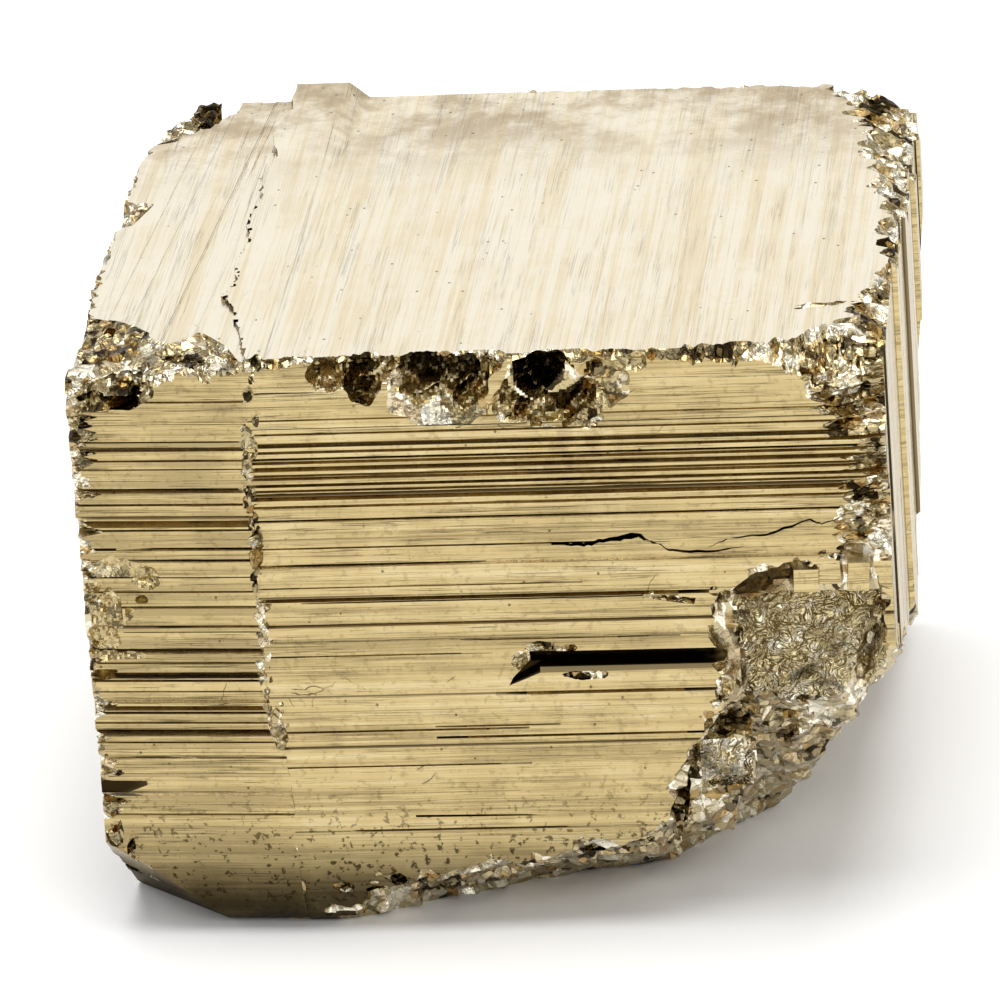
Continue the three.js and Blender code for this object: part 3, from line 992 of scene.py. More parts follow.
class SeamRidge:
    """The jagged bright ridge that the two crystals share on the front."""

    def __init__(self, seed: int = 31) -> None:
        """Starts the ridge's own draw."""
        self.rubble = Rubble(seed)

    def additions(self) -> list[Shell]:
        """Returns the lumps that stand out along the seam."""
        lumps = []
        stretches = zip(FRONT_SEAM[2:-1], FRONT_SEAM[3:], strict=True)
        for (x0, z0), (x1, z1) in stretches:
            top = min(z1, HEIGHT - 0.6)
            count = max(2, round((top - z0) * 2.4))
            lumps += self.rubble.row((x0, 0.42, z0), (x1, 0.42, top), count, (0.38, 0.72), 0.2)
        return lumps

    def cutters(self) -> list[Shell]:
        """Returns small bites out of the ridge."""
        bites = []
        stretches = zip(FRONT_SEAM[2:-1], FRONT_SEAM[3:], strict=True)
        for (x0, z0), (x1, z1) in stretches:
            count = max(2, round((z1 - z0) * 2.2))
            bites += self.rubble.row((x0 + 0.5, -0.1, z0), (x1 + 0.5, -0.1, z1), count, (0.18, 0.36), 0.22)
        return bites


def roof_seam(seed: int = 35) -> list[Shell]:
    """Returns the dark bites along the seam of the top.

    Args:
        seed: seed of the bites.
    """
    rubble = Rubble(seed)
    bites = []
    for (x0, y0), (x1, y1) in zip(TOP_SEAM[1:-1], TOP_SEAM[2:], strict=True):
        end = min(y1, DEPTH)
        count = max(2, round((end - y0) * 1.3))
        bites += rubble.row((x0, y0, HEIGHT), (x1, end, HEIGHT), count, (0.14, 0.4), 0.12)
    return bites


class ShellHollows:
    """Shell-like breaks under the front top edge, and a melted-looking patch on the left front."""

    def edge(self) -> list[Shell]:
        """Returns the dark ribbed hollows along the top edge."""
        scoops = (
            Scoop(16.4, 37.9, 1.3, 1.6, 1.7, 2), Scoop(18.6, 37.5, 1.5, 1.9, 1.9, 3), Scoop(20.2, 38.2, 1.2, 1.3, 1.5, 2),
            Scoop(22.4, 37.8, 2.3, 2.3, 2.4, 4), Scoop(24.6, 37.4, 2.1, 2.3, 2.1, 4), Scoop(23.2, 36.3, 3.2, 2.6, 0.75, 6),
            Scoop(26.3, 38.4, 1.2, 1.2, 1.0, 2), Scoop(29.6, 37.2, 2.5, 2.1, 3.2, 2), Scoop(30.9, 36.0, 2.4, 1.5, 2.0, 3),
            Scoop(28.0, 35.7, 1.7, 1.5, 1.3, 3), Scoop(29.8, 35.4, 3.4, 2.0, 0.8, 5), Scoop(33.2, 36.7, 1.9, 2.0, 0.6, 2),
            Scoop(32.2, 34.5, 1.1, 1.0, 0.7, 3), Scoop(35.2, 38.4, 1.0, 1.2, 0.6, 2),
        )
        blades = (
            Blade(18.2, 39.4, 2.3, 1.9, 265, 75, 0.13, 1.4), Blade(16.4, 37.6, 0.8, 0.8, 190, 120, 0.16, 0.7),
            Blade(21.6, 39.0, 2.7, 2.6, 250, 80, 0.06, 1.2), Blade(22.6, 38.8, 1.5, 2.1, 245, 70, 0.09, 1.0),
            Blade(23.0, 38.0, 2.9, 2.2, 290, 90, 0.06, 1.3), Blade(23.0, 38.0, 2.4, 1.8, 285, 80, 0.06, 0.9),
            Blade(29.9, 37.5, 2.3, 1.9, 150, 105, 0.14, 2.2), Blade(28.6, 39.2, 3.4, 3.1, 290, 62, 0.24, 2.6),
            Blade(29.8, 37.6, 1.2, 1.5, 180, 90, 0.12, 0.9), Blade(29.6, 36.8, 2.5, 1.9, 265, 85, 0.08, 1.1),
            Blade(29.8, 36.9, 2.9, 2.7, 225, 100, 0.05, 0.7),
        )
        left = (
            Scoop(3.9, 37.5, 2.1, 1.9, 1.9, 3), Scoop(2.4, 36.8, 1.5, 1.5, 1.2, 3), Scoop(3.7, 36.1, 1.2, 0.6, 1.7, 2),
            Scoop(5.4, 37.9, 1.3, 1.1, 1.0, 2),
        )
        left_blades = (Blade(3.4, 37.8, 1.6, 1.3, 200, 110, 0.12, 1.0), Blade(4.6, 37.4, 1.0, 1.2, 60, 110, 0.14, 0.8))
        return [
            Hollows((14.4, 33.0), (37.0, 41.0), scoops, blades).cutter(),
            Hollows((0.4, 34.8), (7.4, 41.0), left, left_blades, seed=75).cutter(),
        ]

    def melt(self) -> list[Shell]:
        """Returns the shallow pale patch of curved flats on the left front."""
        scoops = (
            Scoop(2.4, 25.0, 2.6, 1.7, 0.5, 1), Scoop(4.2, 24.3, 1.3, 1.1, 0.6, 2), Scoop(1.6, 22.4, 1.9, 2.0, 0.7, 2),
            Scoop(1.2, 20.0, 1.5, 1.8, 0.8, 2), Scoop(2.7, 19.3, 1.4, 0.7, 0.5, 2), Scoop(1.1, 18.0, 1.2, 0.6, 1.2, 1),
            Scoop(3.8, 22.9, 0.8, 0.5, 0.7, 1),
        )
        blades = (
            Blade(0.4, 22.4, 2.3, 2.2, 330, 100, 0.09, 0.5), Blade(2.6, 21.6, 2.1, 2.4, 105, 95, 0.07, 0.5),
            Blade(0.9, 20.2, 1.7, 2.0, 235, 100, 0.08, 0.6), Blade(4.3, 24.4, 1.0, 0.9, 290, 150, 0.12, 0.35),
            Blade(2.0, 25.2, 1.6, 1.2, 190, 110, 0.08, 0.4),
        )
        return [Hollows((-0.8, 16.8), (6.2, 27.4), scoops, blades, 0.14, seed=77).cutter()]


def crack(line: list[Pair], width: float, depth: float, seed: int) -> Shell:
    """Makes the cutter of a ragged crack in the front face.

    Args:
        line: its course, as (z, x).
        width: its greatest width.
        depth: how deep it goes.
        seed: seed of its teeth.

    Returns:
        A closed shell.
    """
    draw = random.Random(seed)
    course = jagged(line, 5, 0.06, seed)
    upper, lower = [], []
    for number, (z, x) in enumerate(course):
        swell = 0.12 + 0.38 * math.sin(math.pi * number / (len(course) - 1))
        upper.append((x, z + width * swell * draw.uniform(0.5, 1.3)))
        lower.append((x, z - width * swell * draw.uniform(0.5, 1.3)))
    return loft([np.array(upper + lower[::-1])] * 2, np.array([-OVER, depth]), Axis.Y)


class FrontSlots:
    """Slanted slots, wedges and cracks between the ledges of the front."""

    def cutters(self) -> list[Shell]:
        """Returns the slots and the cracks."""
        long_slot = [(-1.0, 16.2), (0.05, 16.3), (0.2, 17.95), (1.5, 18.15), (1.4, 18.9), (-1.0, 19.1)]
        return [
            loft([np.array(long_slot)] * 2, np.array([27.6, 39.9]), Axis.X),
            *Rubble(81).row((27.8, -0.1, 17.95), (38.6, -0.1, 18.1), 20, (0.14, 0.4), 0.1),
            *Rubble(82).row((27.8, -0.1, 19.05), (36.0, -0.1, 18.95), 9, (0.14, 0.3), 0.08),
            hull([(25.4, -1, 15.8), (28.2, -1, 17.0), (28.2, 1.0, 18.0), (28.2, 1.0, 18.8), (28.2, -1, 19.0),
                  (26.2, -1, 17.4), (26.6, 0.7, 17.2)]),
            hull([(-1, -1, 9.7), (6.4, 0.2, 9.75), (-1, 1.2, 9.8), (-1, 1.2, 10.6), (5.4, 0.5, 10.55),
                  (5.4, -1, 10.6), (-1, -1, 10.6), (6.4, -1, 9.7)]),
            hull([(19.8, -1, 7.9), (30.6, -1, 7.8), (19.8, 0.9, 8.0), (27.0, 0.6, 7.95), (19.8, -1, 8.3),
                  (26.0, -1, 8.2)]),
            crack([(26.05, 29.4), (26.0, 31.4), (26.35, 32.6), (26.6, 34.8), (25.9, 35.8)], 0.44, 0.9, 83),
            crack([(26.0, 35.7), (25.4, 36.8), (25.3, 39.4), (25.6, 41.2)], 0.18, 0.7, 84),
            crack([(25.6, 39.0), (26.3, 40.6), (26.4, 42.6), (27.3, 45.3), (27.0, 46.0), (27.5, 47.8)], 0.15, 0.7, 85),
        ]

    def chips(self) -> list[Shell]:
        """Returns the faceted chip beside the broken corner and the crumbs at the slot's left end."""
        crumbs = (
            Scoop(31.2, 17.35, 2.1, 0.45, 0.4, 3), Scoop(28.4, 19.3, 1.3, 0.5, 0.8, 2), Scoop(30.0, 19.2, 0.8, 0.3, 0.6, 2),
            Scoop(27.2, 18.4, 1.0, 0.8, 0.6, 2),
        )
        return [
            hull([(33.6, -1, 22.0), (38.2, -1, 21.4), (34.2, -1, 23.0), (38.6, -1, 22.8), (35.0, 0.8, 22.5),
                  (37.8, 1.0, 22.0)]),
            Hollows((25.4, 16.0), (34.4, 20.6), crumbs, (), 0.2, seed=79).cutter(),
        ]


class BrokenCorner:
    """The broken lower right corner, with a set-back block face and rough breaks below it."""

    def __init__(self, seed: int = 41, voxel: float = 0.3) -> None:
        """Starts the corner's own draw.

        Args:
            seed: seed of the chips.
            voxel: fineness of the broken walls.
        """
        self.rubble = Rubble(seed)
        self.voxel = voxel

    def breaks(self) -> list[Shell]:
        """Returns the large cuts."""
        recess = loft([np.array(jagged([*BROKEN_EDGE, BROKEN_EDGE[0]], 3, 0.12, 7)[:-1])] * 2,
                      np.array([-OVER, BLOCK_SETBACK]), Axis.Y)
        seam = hull([(43.4, 0, 24.1), (48.6, 0, 24.9), (48.4, 0, 24.3), (44.0, 0, 23.6), (44.4, 3.6, 23.9),
                     (48.0, 3.4, 24.5)])
        slit = hull([(49.0, -1, 21.6), (49.5, -1, 20.8), (49.2, 6, 20.8), (46.4, -1, 13.8), (48.2, -1, 12.8),
                     (47.2, 6, 13.6), (48.9, 6, 19.4), (47.6, 6, 16.4)])
        gap = hull([(39.8, 0, 22.6), (43.8, 0, 23.9), (43.8, 0, 22.0), (40.0, 0, 21.3), (40.6, 5.6, 22.4),
                    (43.6, 5.2, 23.4), (43.8, 4.8, 22.2), (40.6, 5.2, 21.7)])
        under = hull([(37.2, -1, 13.2), (39.4, -1, 16.4), (53, -1, 14.6), (40.3, BLOCK_SETBACK, 15.2),
                      (48.0, BLOCK_SETBACK, 13.9), (53, BLOCK_SETBACK, 14.6), (34.6, 11.6, -1), (40.2, 18.5, -1),
                      (53, 18.5, -1), (53, -1, -1), (34.4, -1, 5.6), (33.8, -1, -1)])
        side = hull([(51.5, -1, 20.6), (51.5, 50, 7.8), (46.6, -1, 13.4), (38.2, 8, -1), (45.6, 50, -1),
                     (60, -1, 20.6), (60, 50, 7.8), (60, -1, -1), (60, 50, -1)])
        toe = hull([(13.2, -1, 3.0), (19.0, -1, 4.6), (23.0, -1, 5.4), (30.4, -1, 5.6), (36.0, -1, 7.6),
                    (36.0, 11.8, -1), (31.0, 10.6, -1), (27.2, 8.8, -1), (22.6, 4.6, -1), (13.4, 2.9, -1),
                    (13.4, -1, -1), (36.0, -1, -1)])
        return [recess, gap, seam, slit, under, side, toe]

    def heel(self) -> Shell:
        """Returns the cut of the smooth slanted face at the foot of the left crystal."""
        return hull([(-1, -1, 8.6), (-1, 11, -1), (0.5, -1, 7.4), (3.2, -1, 2.6), (8.0, -1, 0.9), (7.8, 2.8, -0.4),
                     (4.6, 4.6, -0.4), (2.0, 6.6, -0.3), (-1, -1, -1), (8.0, -1, -1)])

    def flank(self) -> Shell:
        """Returns the cut of the slanted face at the back of the right side."""
        return hull([(50.7, 47.5, 38.2), (50.4, 31, 20.7), (49.9, 18, 12.4), (48.9, 47.5, 22), (48.1, 47.5, -1),
                     (53, 47.5, 38.2), (53, 18, 13.5), (53, 47.5, -1), (49.4, 18, 8)])

    def bricks(self) -> list[Shell]:
        """Returns the small flat facets above the large block."""
        return [
            box((44.7, 2.3, 22.9), (1.5, 2.2, 1.5), (3, 2, 4)), box((46.3, 2.5, 23.2), (1.4, 2.2, 1.5), (-4, -3, -5)),
            box((47.9, 2.2, 23.2), (1.3, 2.4, 1.9), (4, 4, 6)),
        ]

    def rough_breaks(self) -> Solid:
        """Returns the large cuts in one, with their walls broken into facets."""
        cuts = self.breaks()
        solid = Solid("breaks", cuts[0])
        solid.apply(Operation.JOIN, cuts[1:])
        near = box((WIDTH / 2, 24.0, 12.5), (WIDTH + 3, 51.0, 28.0), (0, 0, 0))
        solid.apply(Operation.KEEP, [near])
        item = solid.item
        remesh = item.modifiers.new("remesh", "REMESH")
        remesh.mode = "VOXEL"
        remesh.voxel_size = self.voxel
        graph = bpy.context.evaluated_depsgraph_get()
        item.data = bpy.data.meshes.new_from_object(item.evaluated_get(graph))
        item.modifiers.clear()
        mesh = item.data
        places = np.empty(len(mesh.vertices) * 3)
        mesh.vertices.foreach_get("co", places)
        places = places.reshape(-1, 3)
        normals = np.empty(len(mesh.vertices) * 3)
        mesh.vertices.foreach_get("normal", normals)
        normals = normals.reshape(-1, 3)
        shift = 0.42 * facet_noise(places, 2.4, 3) + 0.2 * facet_noise(places, 1.0, 4)
        shift = np.clip(shift, -0.6, 0.6) + 0.05 * facet_noise(places, 0.45, 5)
        calm = np.ones(len(places))
        block = (np.abs(places[:, 1] - BLOCK_SETBACK) < 0.5) & (places[:, 0] > 40.4) & (places[:, 2] > 14.8)
        calm[block] = 0.16
        calm[places[:, 2] < 0.6] = 0.5
        mesh.vertices.foreach_set("co", (places + normals * (shift * calm)[:, None]).ravel())
        mark(mesh, Surface.RUBBLE)
        mesh.update()
        return solid

    def stones(self) -> list[Shell]:
        """Returns the small etched block that stands below the large one, and its foot."""
        return [
            box((39.0, 3.4, 10.9), (3.2, 4.4, 3.4), (4, 0, 6)),
            hull([(37.0, 1.4, 9.6), (40.2, 1.6, 9.4), (36.2, 2.6, 5.4), (39.0, 4.6, 4.6), (37.0, 6.0, 9.6),
                  (40.2, 6.0, 9.4), (38.4, 8.0, 4.4), (36.4, 7.0, 4.6)]),
        ]

    def cutters(self) -> list[Shell]:
        """Returns chips that roughen the broken surfaces."""
        row = self.rubble.row
        return [
            *row((38.4, -0.2, 13.0), (39.6, -0.2, 18.4), 12, (0.3, 0.8), 0.3),
            *row((39.2, 0.4, 22.6), (47.4, 0.4, 25.2), 18, (0.3, 0.9), 0.35),
            *row((14.0, 0.4, 3.2), (35.0, 1.2, 6.2), 40, (0.25, 0.8), 0.6),
            *row((37.5, 1.2, 12.7), (40.7, 1.2, 12.7), 8, (0.2, 0.5), 0.15),
            *row((40.6, 1.2, 12.4), (40.6, 1.4, 9.4), 8, (0.2, 0.5), 0.15),
            *row((37.6, 1.2, 9.3), (40.6, 1.2, 9.3), 8, (0.25, 0.6), 0.2),
            *row((40.8, 2.2, 14.9), (48.2, 2.2, 14.0), 16, (0.2, 0.5), 0.25),
            *row((49.3, 2.0, 21.0), (47.8, 2.0, 15.6), 10, (0.2, 0.5), 0.2),
            *row((0.5, 0.6, 7.6), (3.2, 0.4, 2.7), 14, (0.3, 0.9), 0.35),
            *row((3.4, 0.5, 2.4), (8.0, 0.5, 1.0), 10, (0.3, 0.8), 0.3),
            *row((0.6, 5.4, 2.6), (2.4, 2.6, 2.2), 9, (0.4, 1.0), 0.5),
        ]


class EdgeWear:
    """Crumbly strips and single large chips along the worn edges of the block."""

    def __init__(self, seed: int = 51) -> None:
        """Starts the wear's own draw."""
        self.rubble = Rubble(seed)

    def edges(self) -> list[WornEdge]:
        """Returns the worn edges."""
        t, w, d = HEIGHT, WIDTH, DEPTH
        left, right, front, back = (1, 0, 0), (-1, 0, 0), (0, 1, 0), (0, -1, 0)
        down, up = (0, 0, -1), (0, 0, 1)
        return [
            WornEdge((-1, 0, t), (w + 1, 0, t), front, down, [
                (0, 3.4, 1.8), (0.12, 3.6, 1.6), (0.2, 3.0, 1.5), (0.26, 1.5, 1.0), (0.3, 1.4, 0.6), (0.6, 1.3, 0.6),
                (0.7, 1.2, 1.0), (0.84, 1.7, 1.4), (0.9, 3.8, 2.8), (1, 6.4, 5.2)], 61, 0.22),
            WornEdge((0, -0.5, t - 0.3), (0, d + 0.5, t - 0.3), left, down, [
                (0, 1.6, 1.2), (0.25, 1.2, 1.4), (0.45, 0.6, 1.0), (0.6, 1.0, 1.4), (0.8, 0.7, 1.0), (0.87, 3.4, 2.0),
                (1, 5.8, 2.4)], 62, 0.32),
            WornEdge((w, -0.5, t), (w, d + 0.5, t), right, down, [
                (0, 6.0, 3.4), (0.1, 3.6, 2.6), (0.2, 2.5, 2.2), (0.34, 1.5, 1.8), (0.52, 2.4, 2.4), (0.67, 3.6, 2.6),
                (0.79, 4.0, 3.0), (0.93, 6.2, 3.0), (1, 8.0, 3.4)], 63, 0.34),
            WornEdge((4, d, t + 0.2), (w + 1, d, t), back, down, [(0, 0.6, 0.8), (0.2, 0.5, 0.8), (0.8, 1.0, 1.2),
                     (0.93, 2.6, 2.4), (1, 5.0, 3.4)], 64, 0.36),
            WornEdge((0, 0.35, t), (0, 0.35, 8), left, front, [
                (0, 3.6, 2.0), (0.1, 3.0, 1.8), (0.4, 2.3, 1.6), (0.52, 3.0, 1.6), (0.6, 2.5, 1.5), (1, 2.2, 1.5)],
                     65, 0.22),
            WornEdge((w, 0, t), (w, 0, 24.5), right, front, [
                (0, 6.4, 2.8), (0.2, 5.6, 2.4), (0.45, 4.6, 2.0), (0.8, 4.8, 2.0), (1, 4.0, 1.8)], 66, 0.22),
            WornEdge((0.3, d, t), (0.3, d, -1), left, back, [(0, 4.6, 3.0), (0.1, 2.2, 1.6), (0.5, 1.4, 1.4),
                     (1, 2.0, 1.8)], 67, 0.4),
            WornEdge((w - 0.6, d, t), (w - 1.8, d, 4), right, back, [(0, 3.0, 2.4), (0.3, 1.8, 1.8), (0.7, 2.4, 2.2),
                     (1, 2.6, 2.6)], 68, 0.4),
            WornEdge((-1, d, 0), (w, d, 0), back, up, [(0, 1.6, 1.6), (0.4, 0.8, 1.2), (1, 2.0, 1.6)], 69, 0.4),
            WornEdge((0, 6, 0), (0, d + 1, 0), left, up, [(0, 2.0, 1.6), (0.5, 1.0, 1.0), (1, 1.8, 1.4)], 70, 0.4),
        ]

    def cutters(self) -> list[Shell]:
        """Returns the strips and the single chips."""
        row = self.rubble.row
        t = HEIGHT + 0.2
        return [
            *[edge.cutter() for edge in self.edges()],
            *row((44.6, 6.6, t - 0.1), (48.4, 7.4, t - 0.1), 9, (0.3, 0.7), 0.2),
            *row((1.0, 3.0, t), (9.5, 3.4, t), 9, (0.3, 0.8), 0.5),
            *row((0.2, 40.0, t - 0.3), (5.4, 46.0, t - 0.5), 16, (0.9, 2.0), 0.9),
            *row((45.6, 0.3, 36.6), (49.8, 0.5, 34.6), 10, (0.4, 1.2), 0.5),
            hull([(-1, 23.2, t), (-1, 29.6, t), (3.0, 28.6, t), (2.0, 24.6, t), (-1, 25.0, t - 2.4),
                  (-1, 28.0, t - 2.8)]),
            hull([(-1, -1, t), (6.6, -1, t), (7.2, 3.2, t), (5.6, 8.4, t), (2.0, 9.9, t), (-1, 9.4, t),
                  (-1, -1, t - 2.0), (6.6, -1, t - 1.4), (5.4, 3.0, t - 0.75), (2.0, 7.2, t - 0.8), (-1, 8, t - 1.3)]),
            hull([(5.4, -1, t), (11.4, -1, t), (10.9, 2.4, t), (8.6, 7.8, t), (6.4, 8.2, t), (5.4, -1, t - 1.2),
                  (11.4, -1, t - 1.1), (8.2, 5.6, t - 0.6), (9.6, 2.0, t - 0.6)]),
            *row((2.0, 2.0, t - 0.4), (10.4, 1.6, t - 0.3), 12, (0.4, 1.0), 0.8),
            *row((1.0, 7.0, t - 0.5), (9.0, 6.6, t - 0.3), 10, (0.3, 0.9), 0.9),
        ]


class Specimen:
    """The whole specimen: grows the two crystals together, breaks them and dresses the result."""

    def __init__(self) -> None:
        """Starts with nothing built."""
        self.solid: Solid | None = None

    def grow(self) -> None:
        """Joins the two crystals along their seam."""
        left, right, mask = left_crystal().build(), main_crystal().build(), seam_mask()
        LOG.info("left crystal: %d faces", len(left.item.data.polygons))
        LOG.info("main crystal: %d faces", len(right.item.data.polygons))
        shared = left.copy().with_solid(Operation.KEEP, right)
        left.with_solid(Operation.KEEP, mask)
        right_whole = right.copy()
        right.with_solid(Operation.CUT, mask)
        left.with_solid(Operation.JOIN, right).with_solid(Operation.JOIN, shared)
        self.solid = left
        self.main = right_whole
        for spare in (right, shared, mask):
            spare.discard()

    def wear(self) -> None:
        """Adds the ridge and the blocks, then cuts the breaks, hollows and chips."""
        ridge, corner = SeamRidge(), BrokenCorner()
        self.solid.apply(Operation.JOIN, ridge.additions())
        breaks = corner.rough_breaks()
        self.solid.with_solid(Operation.CUT, breaks)
        breaks.discard()
        self.solid.apply(Operation.CUT, [corner.flank(), corner.heel()], Surface.CRYSTAL)
        self.solid.apply(Operation.JOIN, corner.bricks(), Surface.CRYSTAL)
        stones = Solid("stones", corner.stones()[0])
        stones.apply(Operation.JOIN, corner.stones()[1:])
        stones.with_solid(Operation.KEEP, self.main)
        self.solid.with_solid(Operation.JOIN, stones)
        stones.discard()
        self.main.discard()
        LOG.info("grown and broken: %d faces", len(self.solid.item.data.polygons))
        hollows, slots = ShellHollows(), FrontSlots()
        self.solid.apply(Operation.CUT, hollows.edge(), Surface.SHELL)
        self.solid.apply(Operation.CUT, hollows.melt(), Surface.MELT)
        # The slots, cracks and seam bites take the riser finish, dark with grime and painted shade.
        self.solid.apply(Operation.CUT, slots.cutters() + roof_seam(), Surface.RISER)
        self.solid.apply(Operation.CUT, slots.chips())
        for part in (ridge, corner, EdgeWear()):
            self.solid.apply(Operation.CUT, part.cutters())
            LOG.info("%s: %d faces", type(part).__name__, len(self.solid.item.data.polygons))

    def finish(self, looks: dict[Surface, bpy.types.Material]) -> bpy.types.Object:
        """Keeps the largest piece, roughens its breaks, moves it to the frame and dresses it.

        Args:
            looks: the material of each kind of surface.

        Returns:
            The finished object.
        """
        item = self.solid.item
        item.name = "pyrite_crystal_surface"
        form = bmesh.new()
        form.from_mesh(item.data)
        keep_largest(form)
        sort_faces(form)
        for kind in Surface:
            count = sum(face.material_index == kind.value for face in form.faces)
            LOG.info("%s: %d faces", kind.name.lower(), count)
        crumble(form)
        form.to_mesh(item.data)
        form.free()
        item.data.transform(Matrix.Scale(MM, 4) @ Matrix.Translation((-WIDTH / 2, -DEPTH / 2, 0)))
        item.data.shade_smooth()
        item.data.set_sharp_from_angle(angle=math.radians(16))
        for kind in Surface:
            item.data.materials[kind.value] = looks[kind]
        LOG.info("finished: %d faces", len(item.data.polygons))
        return item


def sort_faces(form: bmesh.types.BMesh) -> None:
    """Tells risers from crystal faces, and the etched block faces from other breaks.

    Args:
        form: the mesh, in bench millimetres.
    """
    flat = math.cos(math.radians(22))
    for face in form.faces:
        normal, middle = face.normal, face.calc_center_median()
        if face.material_index == Surface.CRYSTAL.value:
            toe = middle.z < 4.5 and middle.y < 3.5
            heel = middle.z < 9.0 and middle.x < 9.0 and normal.z < -0.1 and normal.x < -0.1
            roof = middle.z > HEIGHT - 0.6 and normal.z > 0.6
            # Steep faces become risers, which the riser finish darkens with grime and painted shade.
            if max(abs(part) for part in normal) < flat and not toe and not heel and not roof:
                face.material_index = Surface.RISER.value
        elif face.material_index in (Surface.BROKEN.value, Surface.RUBBLE.value) and normal.y < -0.75:
            large = abs(middle.y - BLOCK_SETBACK) < 0.5 and 40.2 < middle.x < 49.4 and 13.8 < middle.z < 21.8
            small = middle.y < 1.9 and 37.4 < middle.x < 40.7 and 9.2 < middle.z < 12.7
            if large or small:
                face.material_index = Surface.ETCHED.value


def crumble(form: bmesh.types.BMesh, pitch: float = 0.42) -> None:
    """Breaks the smooth breaks up into small tilted facets.

    Args:
        form: the mesh, in bench millimetres.
        pitch: longest edge that a broken face keeps.
    """
    rough = {Surface.BROKEN.value}
    for _ in range(6):
        bmesh.ops.triangulate(form, faces=[face for face in form.faces if face.material_index in rough])
        edges = [
            edge for edge in form.edges
            if edge.calc_length() > pitch and any(face.material_index in rough for face in edge.link_faces)
        ]
        if not edges:
            break
        bmesh.ops.subdivide_edges(form, edges=edges, cuts=1, use_grid_fill=False)
    bmesh.ops.triangulate(form, faces=[face for face in form.faces if face.material_index in rough])
    inner = [corner for corner in form.verts if all(face.material_index in rough for face in corner.link_faces)]
    places = np.array([corner.co[:] for corner in inner])
    shift = 0.24 * facet_noise(places, 1.3, 8) + 0.08 * facet_noise(places, 0.5, 9)
    form.normal_update()
    for corner, amount in zip(inner, np.clip(shift, -0.3, 0.3), strict=True):
        corner.co += corner.normal * float(amount)
    for corner in form.verts:
        corner.co.z = max(corner.co.z, 0.0)


def keep_largest(form: bmesh.types.BMesh) -> None:
    """Deletes every loose crumb but the largest body.

    Args:
        form: the mesh to clean.
    """
    unseen = set(form.verts)
    groups = []
    while unseen:
        stack = [unseen.pop()]
        group = [stack[0]]
        while stack:
            for edge in stack.pop().link_edges:
                for corner in edge.verts:
                    if corner in unseen:
                        unseen.discard(corner)
                        stack.append(corner)
                        group.append(corner)
        groups.append(group)
    groups.sort(key=len)
    spare = [corner for group in groups[:-1] for corner in group]
    bmesh.ops.delete(form, geom=spare, context="VERTS")


def camera() -> None:
    """Places the camera at the photograph's viewing angle."""
    place = Vector((59.22, -487.92, 226.17)) * MM
    lens = bpy.data.cameras.new("camera")
    lens.lens = 300.4
    lens.clip_start = 0.01
    lens.clip_end = 10.0
    item = bpy.data.objects.new("camera", lens)
    turn = Matrix.Rotation(math.radians(7.11), 4, "Z") @ Matrix.Rotation(math.radians(90 - 22.81), 4, "X")
    item.matrix_world = Matrix.Translation(place) @ turn @ Matrix.Rotation(math.radians(-4.23), 4, "Z")
    bpy.context.scene.collection.objects.link(item)
    bpy.context.scene.camera = item


class Sketch:
    """Short way of writing one node tree."""

    def __init__(self, tree: bpy.types.NodeTree) -> None:
        """Starts on a tree."""
        self.tree = tree

    def add(self, kind: str, inputs: dict[str | int, object] | None = None, **settings: object) -> bpy.types.Node:
        """Adds a node.

        Args:
            kind: the node's type.
            inputs: numbers or sockets for its inputs.
            settings: the node's own properties.

        Returns:
            The node.
        """
        node = self.tree.nodes.new(kind)
        for name, value in settings.items():
            setattr(node, name, value)
        for name, value in (inputs or {}).items():
            if isinstance(value, bpy.types.NodeSocket):
                self.tree.links.new(value, node.inputs[name])
            else:
                node.inputs[name].default_value = value
        return node

    def math(self, operation: str, first: object, second: object = 0.0, clamp: bool = False) -> bpy.types.NodeSocket:
        """Returns the result of a two-number operation."""
        return self.add("ShaderNodeMath", {0: first, 1: second}, operation=operation, use_clamp=clamp).outputs[0]

    def span(self, value: object, low: float, high: float, to_low: float = 0.0,
             to_high: float = 1.0) -> bpy.types.NodeSocket:
        """Returns a value carried smoothly from one range to another."""
        inputs = {"Value": value, "From Min": low, "From Max": high, "To Min": to_low, "To Max": to_high}
        return self.add("ShaderNodeMapRange", inputs, interpolation_type="SMOOTHSTEP").outputs["Result"]

    def noise(self, place: object, scale: float, detail: float = 4.0, roughness: float = 0.6,
              distortion: float = 0.0) -> bpy.types.NodeSocket:
        """Returns a noise of about 0 to 1."""
        inputs = {"Vector": place, "Scale": scale, "Detail": detail, "Roughness": roughness,
                  "Distortion": distortion}
        return self.add("ShaderNodeTexNoise", inputs).outputs["Fac"]

    def mix(self, share: object, first: object, second: object, blend: str = "MIX") -> bpy.types.NodeSocket:
        """Returns a mix of two colours."""
        inputs = {0: share, 6: first, 7: second}
        return self.add("ShaderNodeMix", inputs, data_type="RGBA", blend_type=blend).outputs[2]

    def vector(self, x: object, y: object, z: object) -> bpy.types.NodeSocket:
        """Returns a vector of three numbers."""
        return self.add("ShaderNodeCombineXYZ", {0: x, 1: y, 2: z}).outputs[0]


def new_group(name: str, inputs: dict[str, str], outputs: dict[str, str]) -> tuple[bpy.types.NodeTree, Sketch]:
    """Makes an empty node group.

    Args:
        name: its name.
        inputs: name and socket type of each input.
        outputs: name and socket type of each output.

    Returns:
        The group and a sketch on it.
    """
    tree = bpy.data.node_groups.new(name, "ShaderNodeTree")
    for label, kind in inputs.items():
        tree.interface.new_socket(label, in_out="INPUT", socket_type=kind)
    for label, kind in outputs.items():
        tree.interface.new_socket(label, in_out="OUTPUT", socket_type=kind)
    return tree, Sketch(tree)


NUMBER, VECTOR = "NodeSocketFloat", "NodeSocketVector"


